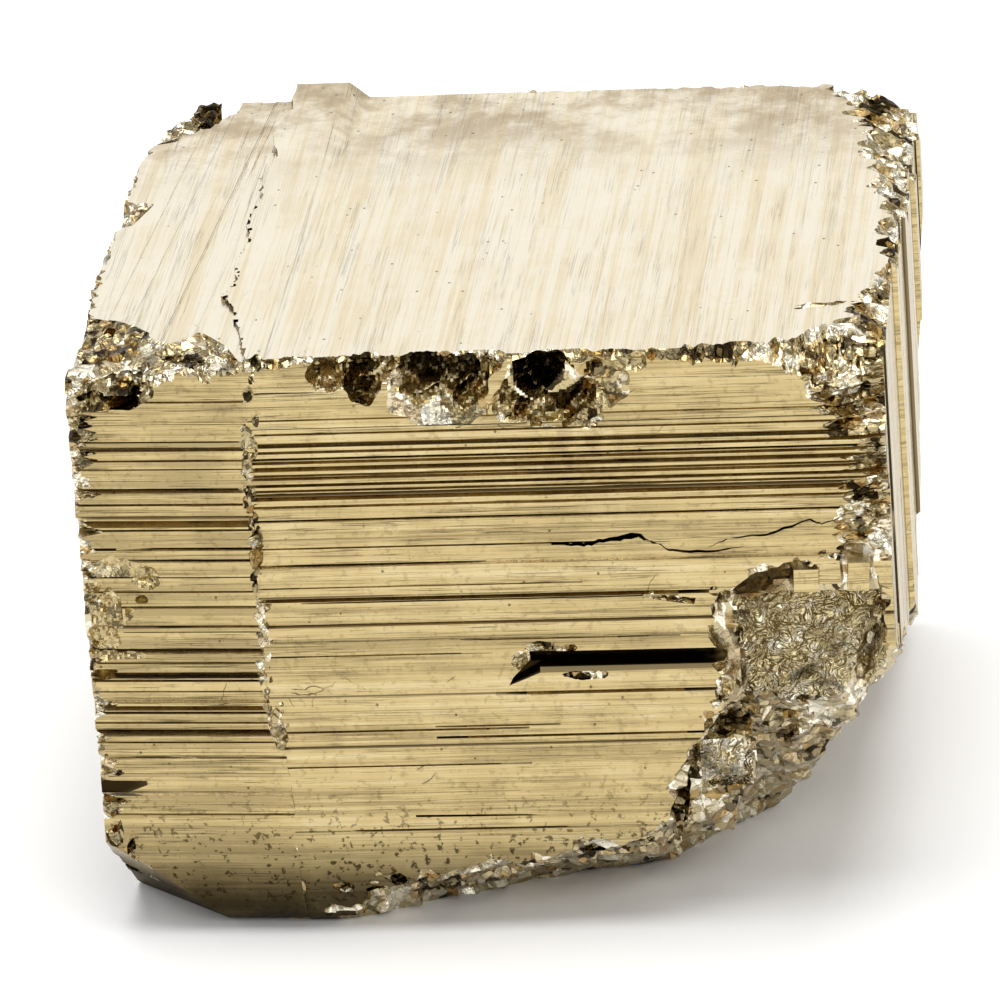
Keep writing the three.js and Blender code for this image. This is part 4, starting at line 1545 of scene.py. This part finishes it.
class Effects:
    """The node groups that several materials share."""

    def __init__(self) -> None:
        """Builds every group once."""
        self.bench = self._bench()
        self.striation = self._striation()
        self.grime = self._grime()
        self.shatter = self._shatter()
        self.etch = self._etch()

    @staticmethod
    def _bench() -> bpy.types.NodeTree:
        """Returns the group that gives places in bench millimetres, the way a face looks and how deep it lies."""
        tree, sketch = new_group("bench_place", {}, {
            "Place": VECTOR, "Top": NUMBER, "Side": NUMBER, "Across": NUMBER, "Along": NUMBER, "Depth": NUMBER})
        coordinates = sketch.add("ShaderNodeTexCoord")
        inputs = {0: coordinates.outputs["Object"], 1: (1000, 1000, 1000), 2: (WIDTH / 2, DEPTH / 2, 0)}
        place = sketch.add("ShaderNodeVectorMath", inputs, operation="MULTIPLY_ADD").outputs[0]
        way = sketch.add("ShaderNodeSeparateXYZ", {0: coordinates.outputs["Normal"]}).outputs
        top = sketch.math("GREATER_THAN", way[2], 0.72)
        side = sketch.math("GREATER_THAN", sketch.math("ABSOLUTE", way[0]), 0.72)
        spot = sketch.add("ShaderNodeSeparateXYZ", {0: place}).outputs
        front = sketch.math("SUBTRACT", 1.0, sketch.math("ADD", top, side))
        across = sketch.math("ADD", sketch.math("MULTIPLY", top, spot[0]), sketch.math("ADD", sketch.math(
            "MULTIPLY", side, spot[1]), sketch.math("MULTIPLY", front, spot[2])))
        along = sketch.math("ADD", sketch.math("MULTIPLY", top, spot[1]), sketch.math("ADD", sketch.math(
            "MULTIPLY", side, spot[2]), sketch.math("MULTIPLY", front, spot[0])))
        lean = sketch.math("MULTIPLY", sketch.math("SUBTRACT", LEFT_PIVOT_X, spot[0]), math.tan(-LEFT_YAW))
        ahead = sketch.math("SUBTRACT", spot[1], sketch.math("MAXIMUM", lean, 0.0))
        ends = sketch.math("MINIMUM", ahead, sketch.math("SUBTRACT", DEPTH, spot[1]))
        sides = sketch.math("MINIMUM", spot[0], sketch.math("SUBTRACT", WIDTH, spot[0]))
        near_end = sketch.math("MULTIPLY", sketch.math("LESS_THAN", ends, 3.0), 10.0)
        depth = sketch.math("MINIMUM", ends, sketch.math("ADD", sides, near_end))
        sketch.add("NodeGroupOutput", {"Place": place, "Top": top, "Side": side, "Across": across, "Along": along,
                                       "Depth": depth})
        return tree

    @staticmethod
    def _striation() -> bpy.types.NodeTree:
        """Returns the group of the fine lines that run along a crystal face."""
        tree, sketch = new_group("striation", {"Across": NUMBER, "Along": NUMBER, "Seed": NUMBER}, {
            "Tone": NUMBER, "Lines": NUMBER, "Bright": NUMBER, "Height": NUMBER})
        given = sketch.add("NodeGroupInput").outputs

        def streaks(fine: float, long: float, shift: float, detail: float) -> bpy.types.NodeSocket:
            """Returns a noise drawn out along the face."""
            place = sketch.vector(sketch.math("MULTIPLY", given["Across"], fine),
                                  sketch.math("MULTIPLY", given["Along"], long),
                                  sketch.math("ADD", given["Seed"], shift))
            return sketch.noise(place, 1.0, detail, 0.6)

        broad, fine, hair = streaks(1.1, 0.02, 0.0, 4.0), streaks(6.0, 0.05, 3.7, 3.0), streaks(16.0, 0.16, 9.1, 2.0)
        tone = sketch.math("ADD", sketch.math("MULTIPLY", broad, 0.5), sketch.math("ADD", sketch.math(
            "MULTIPLY", fine, 0.3), sketch.math("MULTIPLY", hair, 0.2)))
        contour = sketch.math("ABSOLUTE", sketch.math("SUBTRACT", streaks(3.4, 0.035, 5.3, 3.0), 0.5))
        present = sketch.span(streaks(0.9, 0.09, 12.4, 2.0), 0.47, 0.56)
        thin = sketch.math("MULTIPLY", sketch.span(contour, 0.0, 0.022, 1.0, 0.0), present)
        short = sketch.math("MULTIPLY", sketch.span(hair, 0.30, 0.36, 1.0, 0.0),
                            sketch.span(streaks(1.6, 0.2, 20.1, 2.0), 0.5, 0.58))
        bright = sketch.math("MULTIPLY", sketch.span(hair, 0.60, 0.68), sketch.span(streaks(2.1, 0.12, 31.0, 2.0),
                                                                                 0.5, 0.6))
        sketch.add("NodeGroupOutput", {
            "Tone": sketch.span(tone, 0.36, 0.62), "Lines": sketch.math("MAXIMUM", thin, short), "Bright": bright,
            "Height": sketch.math("SUBTRACT", sketch.math("ADD", fine, hair), thin)})
        return tree

    @staticmethod
    def _grime() -> bpy.types.NodeTree:
        """Returns the group of mottles, small pits, short cracks and stains."""
        tree, sketch = new_group("grime", {"Place": VECTOR}, {
            "Mottle": NUMBER, "Spots": NUMBER, "Pits": NUMBER, "Cracks": NUMBER})
        place = sketch.add("NodeGroupInput").outputs["Place"]
        mottle = sketch.span(sketch.noise(place, 0.22, 7.0, 0.66), 0.38, 0.64)
        spots = sketch.span(sketch.noise(place, 1.3, 5.0, 0.7), 0.60, 0.72)
        cells = sketch.add("ShaderNodeTexVoronoi", {"Vector": place, "Scale": 1.05, "Randomness": 1.0})
        chosen = sketch.span(sketch.add("ShaderNodeSeparateColor", {0: cells.outputs["Color"]}).outputs[0], 0.74, 0.78)
        pits = sketch.math("MULTIPLY", sketch.span(cells.outputs["Distance"], 0.05, 0.13, 1.0, 0.0), chosen)
        bent = sketch.add("ShaderNodeVectorMath", {0: place, 1: sketch.add("ShaderNodeTexNoise", {
            "Vector": place, "Scale": 0.5, "Detail": 4.0}).outputs["Color"]}, operation="ADD").outputs[0]
        edges = sketch.add("ShaderNodeTexVoronoi", {"Vector": bent, "Scale": 0.3}, feature="DISTANCE_TO_EDGE")
        crack = sketch.span(edges.outputs["Distance"], 0.003, 0.010, 1.0, 0.0)
        shown = sketch.span(sketch.noise(place, 0.16, 3.0), 0.61, 0.66)
        sketch.add("NodeGroupOutput", {"Mottle": mottle, "Spots": spots, "Pits": pits,
                                       "Cracks": sketch.math("MULTIPLY", crack, shown)})
        return tree

    @staticmethod
    def _shatter() -> bpy.types.NodeTree:
        """Returns the group that gives every small facet of a break its own tone, a painted reflection, and a painted
        glint mask.
        """
        tree, sketch = new_group("shatter", {"Place": VECTOR}, {
            "Tone": NUMBER, "Glint": NUMBER, "Outline": NUMBER, "Height": NUMBER})
        place = sketch.add("NodeGroupInput").outputs["Place"]
        wobble = sketch.add("ShaderNodeTexNoise", {"Vector": place, "Scale": 1.4, "Detail": 3.0}).outputs["Color"]
        bent = sketch.add("ShaderNodeVectorMath", {0: wobble, 1: (0.8, 0.8, 0.8), 2: place},
                          operation="MULTIPLY_ADD").outputs[0]
        small = sketch.add("ShaderNodeTexVoronoi", {"Vector": bent, "Scale": 1.35})
        large = sketch.add("ShaderNodeTexVoronoi", {"Vector": bent, "Scale": 0.5})
        edges = sketch.add("ShaderNodeTexVoronoi", {"Vector": bent, "Scale": 1.35}, feature="DISTANCE_TO_EDGE")
        one = sketch.add("ShaderNodeSeparateColor", {0: small.outputs["Color"]}).outputs
        two = sketch.add("ShaderNodeSeparateColor", {0: large.outputs["Color"]}).outputs
        tone = sketch.math("ADD", sketch.math("MULTIPLY", one[0], 0.5), sketch.math("MULTIPLY", two[0], 0.5))
        sketch.add("NodeGroupOutput", {
            "Tone": tone, "Glint": sketch.span(one[1], 0.80, 0.84),
            "Outline": sketch.span(edges.outputs["Distance"], 0.0, 0.05, 1.0, 0.0),
            "Height": sketch.noise(place, 3.2, 4.0, 0.6)})
        return tree

    @staticmethod
    def _etch() -> bpy.types.NodeTree:
        """Returns the group of the wrinkled relief that etching leaves."""
        tree, sketch = new_group("etch", {"Place": VECTOR}, {"Height": NUMBER, "Furrow": NUMBER, "Shine": NUMBER})
        place = sketch.add("NodeGroupInput").outputs["Place"]
        swirl = sketch.noise(place, 0.85, 2.5, 0.55, 1.6)
        wave = sketch.math("FRACT", sketch.math("MULTIPLY", swirl, 13.0))
        furrow = sketch.span(sketch.math("ABSOLUTE", sketch.math("SUBTRACT", wave, 0.5)), 0.32, 0.48)
        # Shine: painted glints on the wrinkles, in patches.
        patches = sketch.span(sketch.noise(place, 0.9, 3.0), 0.48, 0.6)
        shine = sketch.math("MULTIPLY", sketch.span(wave, 0.3, 0.5), patches)
        sketch.add("NodeGroupOutput", {"Height": wave, "Furrow": furrow, "Shine": shine})
        return tree


Colour = tuple[float, float, float, float]


def new_material(name: str, metallic: float, roughness: float) -> tuple[bpy.types.Material, Sketch, bpy.types.Node]:
    """Makes a material with one Principled shader.

    Args:
        name: its name.
        metallic: how metallic it is.
        roughness: how rough it is.

    Returns:
        The material, a sketch on its tree, and the shader.
    """
    look = bpy.data.materials.new(name)
    look.use_nodes = True
    shader = look.node_tree.nodes["Principled BSDF"]
    shader.inputs["Metallic"].default_value = metallic
    shader.inputs["Roughness"].default_value = roughness
    return look, Sketch(look.node_tree), shader


@dataclass(frozen=True)
class CrystalFinish:
    """Smooth striated crystal face, khaki gold at the sides and pale on top; the paler top is painted light, and the
    side faces and the foot carry painted shade.

    Args:
        side: colour of the front and sides.
        top: colour of the top, painted lighter than the sides.
        shade: colour of the darker bands, and of the painted shade on the left and right side faces.
        light: colour of the paler bands.
        stain: colour of the brown stain.
        dirt_and_shade: colour of lines, pits and cracks, and of the painted shade at the foot of every face but the
            top.
        roughness: how rough it is.
    """

    side: Colour = (0.56, 0.435, 0.205, 1)
    top: Colour = (0.69, 0.63, 0.50, 1)
    shade: Colour = (0.385, 0.295, 0.14, 1)
    light: Colour = (0.70, 0.58, 0.335, 1)
    stain: Colour = (0.32, 0.23, 0.11, 1)
    dirt_and_shade: Colour = (0.03, 0.019, 0.006, 1)
    roughness: float = 0.24

    def build(self, effects: Effects) -> bpy.types.Material:
        """Returns the material.

        Args:
            effects: the shared node groups.
        """
        look, sketch, shader = new_material("pyrite_crystal_face", 1.0, self.roughness)
        bench = sketch.add("ShaderNodeGroup", node_tree=effects.bench).outputs
        lines = sketch.add("ShaderNodeGroup", node_tree=effects.striation)
        sketch.tree.links.new(bench["Across"], lines.inputs["Across"])
        sketch.tree.links.new(bench["Along"], lines.inputs["Along"])
        sketch.tree.links.new(sketch.math("MULTIPLY", bench["Top"], 50.0), lines.inputs["Seed"])
        grime = sketch.add("ShaderNodeGroup", node_tree=effects.grime)
        sketch.tree.links.new(bench["Place"], grime.inputs["Place"])
        spot = sketch.add("ShaderNodeSeparateXYZ", {0: bench["Place"]}).outputs
        below = sketch.math("SUBTRACT", 1.0, bench["Top"])
        tone = sketch.math("ADD", sketch.math("MULTIPLY", lines.outputs["Tone"], 0.72),
                           sketch.math("MULTIPLY", grime.outputs["Mottle"], 0.22))
        leftward = sketch.math("MULTIPLY", below, sketch.span(spot[0], 13.0, 9.0))
        tone = sketch.math("SUBTRACT", tone, sketch.math("MULTIPLY", leftward, 0.23))
        khaki = sketch.mix(sketch.span(tone, 0.15, 0.55), self.shade, self.side)
        khaki = sketch.mix(sketch.math("MULTIPLY", sketch.span(tone, 0.5, 0.95), 0.75), khaki, self.light)
        # Painted light: faces that point up take the paler top colour.
        pale = sketch.mix(sketch.span(tone, 0.75, 0.1, 0.0, 0.55), self.top, self.side)
        # Painted shade: the left and right side faces are pulled most of the way to the shade colour.
        khaki = sketch.mix(sketch.math("MULTIPLY", bench["Side"], 0.75), khaki, self.shade)
        body = sketch.mix(bench["Top"], khaki, pale)
        back = sketch.math("MULTIPLY", bench["Top"], sketch.span(spot[1], 27.0, 44.0))
        stain = sketch.math("MULTIPLY", back, sketch.span(sketch.noise(bench["Place"], 0.16, 7.0, 0.72), 0.38, 0.62))
        body = sketch.mix(sketch.math("MULTIPLY", stain, 0.9), body, self.stain)
        near = sketch.add("ShaderNodeVectorMath", {0: bench["Place"], 1: (31.6, 0.0, 32.0)}, operation="DISTANCE")
        smudge = sketch.math("MULTIPLY", sketch.span(near.outputs["Value"], 0.4, 4.6, 1.0, 0.0),
                             sketch.span(sketch.noise(bench["Place"], 0.9, 6.0, 0.7), 0.40, 0.62))
        spots = sketch.math("MULTIPLY", grime.outputs["Spots"], sketch.math("ADD", sketch.math(
            "MULTIPLY", below, 0.4), 0.14))
        body = sketch.mix(sketch.math("MAXIMUM", sketch.math("MULTIPLY", smudge, 0.75), spots), body, self.stain)
        body = sketch.mix(sketch.math("MULTIPLY", lines.outputs["Bright"], 0.5), body, self.light)
        calm = sketch.math("MAXIMUM", sketch.span(spot[2], 10.0, 27.0, 0.35, 1.0), sketch.span(spot[0], 12.0, 10.0))
        strength = sketch.math("ADD", sketch.math("MULTIPLY", below, 0.36), 0.22)
        dirt_and_shade = sketch.math("MULTIPLY", lines.outputs["Lines"], sketch.math("MULTIPLY", strength, calm))
        dirt_and_shade = sketch.math("MAXIMUM", dirt_and_shade, sketch.math("MULTIPLY", grime.outputs["Pits"], 0.7))
        dirt_and_shade = sketch.math("MAXIMUM", dirt_and_shade, sketch.math("MULTIPLY", grime.outputs["Cracks"], sketch.math(
            "ADD", sketch.math("MULTIPLY", below, 0.7), 0.1)))
        # Painted shade: the lowest 8 mm of every face but the top darkens toward the underside in an even band, and is
        # rougher there.
        foot = sketch.math("MULTIPLY", sketch.span(spot[2], 1.6, 8.4, 0.95, 0.0), sketch.span(
            sketch.noise(bench["Place"], 0.3, 4.0), 0.3, 0.6, 0.86, 1.0))
        foot = sketch.math("MULTIPLY", foot, below)
        body = sketch.mix(foot, body, self.dirt_and_shade)
        sketch.tree.links.new(sketch.span(foot, 0.2, 0.8, self.roughness, 0.62), shader.inputs["Roughness"])
        speckle = sketch.math("MULTIPLY", sketch.span(sketch.noise(bench["Place"], 2.2, 3.0, 0.6), 0.57, 0.64),
                              sketch.span(spot[2], 11.0, 5.0, 0.2, 0.85))
        body = sketch.mix(sketch.math("MULTIPLY", speckle, below), body, self.dirt_and_shade)
        colour = sketch.mix(dirt_and_shade, body, self.dirt_and_shade)
        sketch.tree.links.new(colour, shader.inputs["Base Color"])
        height = sketch.math("SUBTRACT", lines.outputs["Height"], sketch.math("MULTIPLY", dirt_and_shade, 2.0))
        bump = sketch.add("ShaderNodeBump", {"Height": height, "Strength": 0.35, "Distance": 0.00003})
        sketch.tree.links.new(bump.outputs[0], shader.inputs["Normal"])
        return look


@dataclass(frozen=True)
class RiserFinish:
    """Dark grime and painted shade on the narrow steps between ledges, with bright stretches.

    Args:
        dark: colour of the grime and painted shade.
        bright: colour where the step is clean and unshaded.
        roughness: how rough it is.
    """

    dark: Colour = (0.028, 0.018, 0.006, 1)
    bright: Colour = (0.26, 0.20, 0.10, 1)
    roughness: float = 0.4

    def build(self, effects: Effects) -> bpy.types.Material:
        """Returns the material.

        Args:
            effects: the shared node groups.
        """
        look, sketch, shader = new_material("pyrite_riser", 1.0, self.roughness)
        bench = sketch.add("ShaderNodeGroup", node_tree=effects.bench).outputs
        # Painted shade: steps more than about 0.4 mm below the faces take the dark colour, save for random clean
        # stretches.
        shallow = sketch.span(bench["Depth"], 0.14, 0.4, 0.9, 0.0)
        clean = sketch.span(sketch.noise(bench["Place"], 0.22, 4.0, 0.6), 0.58, 0.7)
        colour = sketch.mix(sketch.math("MAXIMUM", shallow, clean), self.dark, self.bright)
        sketch.tree.links.new(colour, shader.inputs["Base Color"])
        return look


@dataclass(frozen=True)
class BrokenFinish:
    """Crumbly break: bright metal facets beside black ones, with brown-gold glints; these facet tones are painted
    reflections and glints.

    Args:
        name: the material's name.
        body: colour of most facets.
        dark: colour of the dark facets, a painted dark reflection, and of the painted shade in hollows.
        pale: colour of the bright facets, a painted highlight.
        glint: colour of the brown-gold facets, a painted glint.
        low: tone under which a facet is dark.
        high: tone over which a facet is bright.
        shade_depth: depth at which a hollow is all dark with painted shade, in millimetres, or 0 where depth makes no
            difference.
        roughness: how rough it is.
    """

    name: str
    body: Colour = (0.46, 0.37, 0.20, 1)
    dark: Colour = (0.035, 0.023, 0.009, 1)
    pale: Colour = (0.96, 0.90, 0.74, 1)
    glint: Colour = (0.42, 0.26, 0.08, 1)
    low: float = 0.34
    high: float = 0.7
    shade_depth: float = 0.0
    roughness: float = 0.16

    def build(self, effects: Effects) -> bpy.types.Material:
        """Returns the material.

        Args:
            effects: the shared node groups.
        """
        look, sketch, shader = new_material(self.name, 1.0, self.roughness)
        bench = sketch.add("ShaderNodeGroup", node_tree=effects.bench).outputs
        facets = sketch.add("ShaderNodeGroup", node_tree=effects.shatter)
        sketch.tree.links.new(bench["Place"], facets.inputs["Place"])
        out = facets.outputs
        # Painted reflections: each facet's tone sets it dark, body-coloured or pale, and some facets take a brown-gold
        # painted glint.
        colour = sketch.mix(sketch.span(out["Tone"], self.low - 0.12, self.low + 0.12), self.dark, self.body)
        colour = sketch.mix(sketch.span(out["Tone"], self.high - 0.16, self.high + 0.12), colour, self.pale)
        colour = sketch.mix(sketch.math("MULTIPLY", out["Glint"], 0.6), colour, self.glint)
        colour = sketch.mix(sketch.math("MULTIPLY", out["Outline"], 0.45), colour, self.dark)
        if self.shade_depth > 0:
            # Painted shade: a hollow darkens with its depth below the faces.
            deep = sketch.span(bench["Depth"], self.shade_depth * 0.4, self.shade_depth, 0.0, 0.88)
            colour = sketch.mix(deep, colour, self.dark)
        sketch.tree.links.new(colour, shader.inputs["Base Color"])
        bump = sketch.add("ShaderNodeBump", {"Height": out["Height"], "Strength": 0.6, "Distance": 0.0001})
        sketch.tree.links.new(bump.outputs[0], shader.inputs["Normal"])
        return look


@dataclass(frozen=True)
class EtchedFinish:
    """Wrinkled, etched block face, khaki grey with dark furrows and bright specks; the specks and a glittering band at
    its foot are painted glints.

    Args:
        body: colour of the face.
        furrow: colour of the furrows.
        shine: colour of the specks and of the foot band, painted glints.
        roughness: how rough it is.
    """

    body: Colour = (0.69, 0.57, 0.31, 1)
    furrow: Colour = (0.045, 0.032, 0.013, 1)
    shine: Colour = (0.97, 0.91, 0.74, 1)
    roughness: float = 0.22

    def build(self, effects: Effects) -> bpy.types.Material:
        """Returns the material.

        Args:
            effects: the shared node groups.
        """
        look, sketch, shader = new_material("pyrite_etched", 1.0, self.roughness)
        bench = sketch.add("ShaderNodeGroup", node_tree=effects.bench).outputs
        relief = sketch.add("ShaderNodeGroup", node_tree=effects.etch)
        sketch.tree.links.new(bench["Place"], relief.inputs["Place"])
        out = relief.outputs
        height = sketch.add("ShaderNodeSeparateXYZ", {0: bench["Place"]}).outputs[2]
        # Painted glints: a glittering band along the foot of the block face, 14.2 to 16 mm up, broken by noise.
        foot = sketch.math("MULTIPLY", sketch.span(height, 14.2, 16.0, 1.0, 0.0), sketch.span(
            sketch.noise(bench["Place"], 1.2, 4.0, 0.7), 0.48, 0.56))
        colour = sketch.mix(sketch.math("MAXIMUM", foot, out["Shine"]), self.body, self.shine)
        # Darker in broad random patches.
        dark_patches = sketch.span(sketch.noise(bench["Place"], 0.3, 4.0, 0.6, 0.6), 0.5, 0.34, 0.0, 0.8)
        colour = sketch.mix(sketch.math("MAXIMUM", dark_patches, sketch.math("MULTIPLY", out["Furrow"], 0.9)), colour,
                            self.furrow)
        sketch.tree.links.new(colour, shader.inputs["Base Color"])
        bump = sketch.add("ShaderNodeBump", {"Height": out["Height"], "Strength": 1.0, "Distance": 0.00016})
        sketch.tree.links.new(bump.outputs[0], shader.inputs["Normal"])
        return look


@dataclass(frozen=True)
class Softbox:
    """A rectangular lamp that faces the specimen.

    Args:
        turn: where it stands about the specimen, in degrees from the front.
        lift: how high it stands, in degrees.
        width: its width, in metres.
        height: its height, in metres.
        power: its power, in watts.
        distance: how far away it stands, in metres.
    """

    turn: float
    lift: float
    width: float
    height: float
    power: float
    distance: float = 1.5

    def place(self) -> None:
        """Adds the lamp to the scene."""
        lamp = bpy.data.lights.new("softbox", "AREA")
        lamp.shape = "RECTANGLE"
        lamp.size = self.width
        lamp.size_y = self.height
        lamp.energy = self.power
        item = bpy.data.objects.new("softbox", lamp)
        turn, lift = math.radians(self.turn), math.radians(self.lift)
        away = Vector((math.sin(turn) * math.cos(lift), -math.cos(turn) * math.cos(lift), math.sin(lift)))
        item.location = away * self.distance
        item.rotation_euler = away.to_track_quat("Z", "Y").to_euler()
        bpy.context.scene.collection.objects.link(item)


class Studio:
    """Plain pale floor, soft lamps and a dim surround."""

    LAMPS = (
        Softbox(180, 27, 1.5, 0.8, 4.1), Softbox(20, 38, 1.2, 0.7, 5.6), Softbox(100, 34, 0.9, 0.9, 3.6),
        Softbox(265, 34, 0.9, 0.9, 4.6), Softbox(0, 88, 1.1, 1.1, 19.0),
    )

    def build(self) -> None:
        """Adds the floor, the lamps and the surround."""
        bpy.ops.mesh.primitive_plane_add(size=4)
        floor = bpy.context.object
        floor.name = "floor"
        white, _, shader = new_material("floor_white", 0.0, 0.9)
        shader.inputs["Base Color"].default_value = (0.95, 0.95, 0.95, 1)
        floor.data.materials.append(white)
        world = bpy.data.worlds.new("studio")
        bpy.context.scene.world = world
        world.use_nodes = True
        world.node_tree.nodes["Background"].inputs["Color"].default_value = (0.5, 0.5, 0.5, 1)
        world.node_tree.nodes["Background"].inputs["Strength"].default_value = 0.6
        for lamp in self.LAMPS:
            lamp.place()
        bpy.context.scene.view_settings.view_transform = "Standard"


def main() -> None:
    """Builds the specimen, the stage and the camera."""
    logging.basicConfig(level=logging.INFO, format="%(message)s")
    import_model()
    camera()
    effects = Effects()
    looks = {
        Surface.CRYSTAL: CrystalFinish().build(effects),
        Surface.RISER: RiserFinish().build(effects),
        # The broken finishes paint reflections and glints into the colour of their facets.
        Surface.BROKEN: BrokenFinish("pyrite_broken").build(effects),
        # The shell and melt finishes also paint shade into their hollows, darker with depth.
        Surface.SHELL: BrokenFinish(
            "pyrite_shell", body=(0.52, 0.42, 0.22, 1), low=0.27, high=0.7, shade_depth=2.1, roughness=0.14).build(effects),
        Surface.ETCHED: EtchedFinish().build(effects),
        Surface.RUBBLE: BrokenFinish(
            "pyrite_rubble", body=(0.54, 0.45, 0.27, 1), low=0.25, high=0.66, roughness=0.22).build(effects),
        Surface.MELT: BrokenFinish(
            "pyrite_melt", body=(0.54, 0.43, 0.22, 1), pale=(0.70, 0.60, 0.38, 1), glint=(0.46, 0.35, 0.17, 1),
            low=0.02, high=0.8, shade_depth=2.2, roughness=0.2).build(effects),
    }
    specimen = Specimen()
    specimen.grow()
    specimen.wear()
    crystal = specimen.finish(looks)
    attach(crystal, BODY)
    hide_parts(NODE)
    Studio().build()
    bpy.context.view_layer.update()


if __name__ == "__main__":
    main()
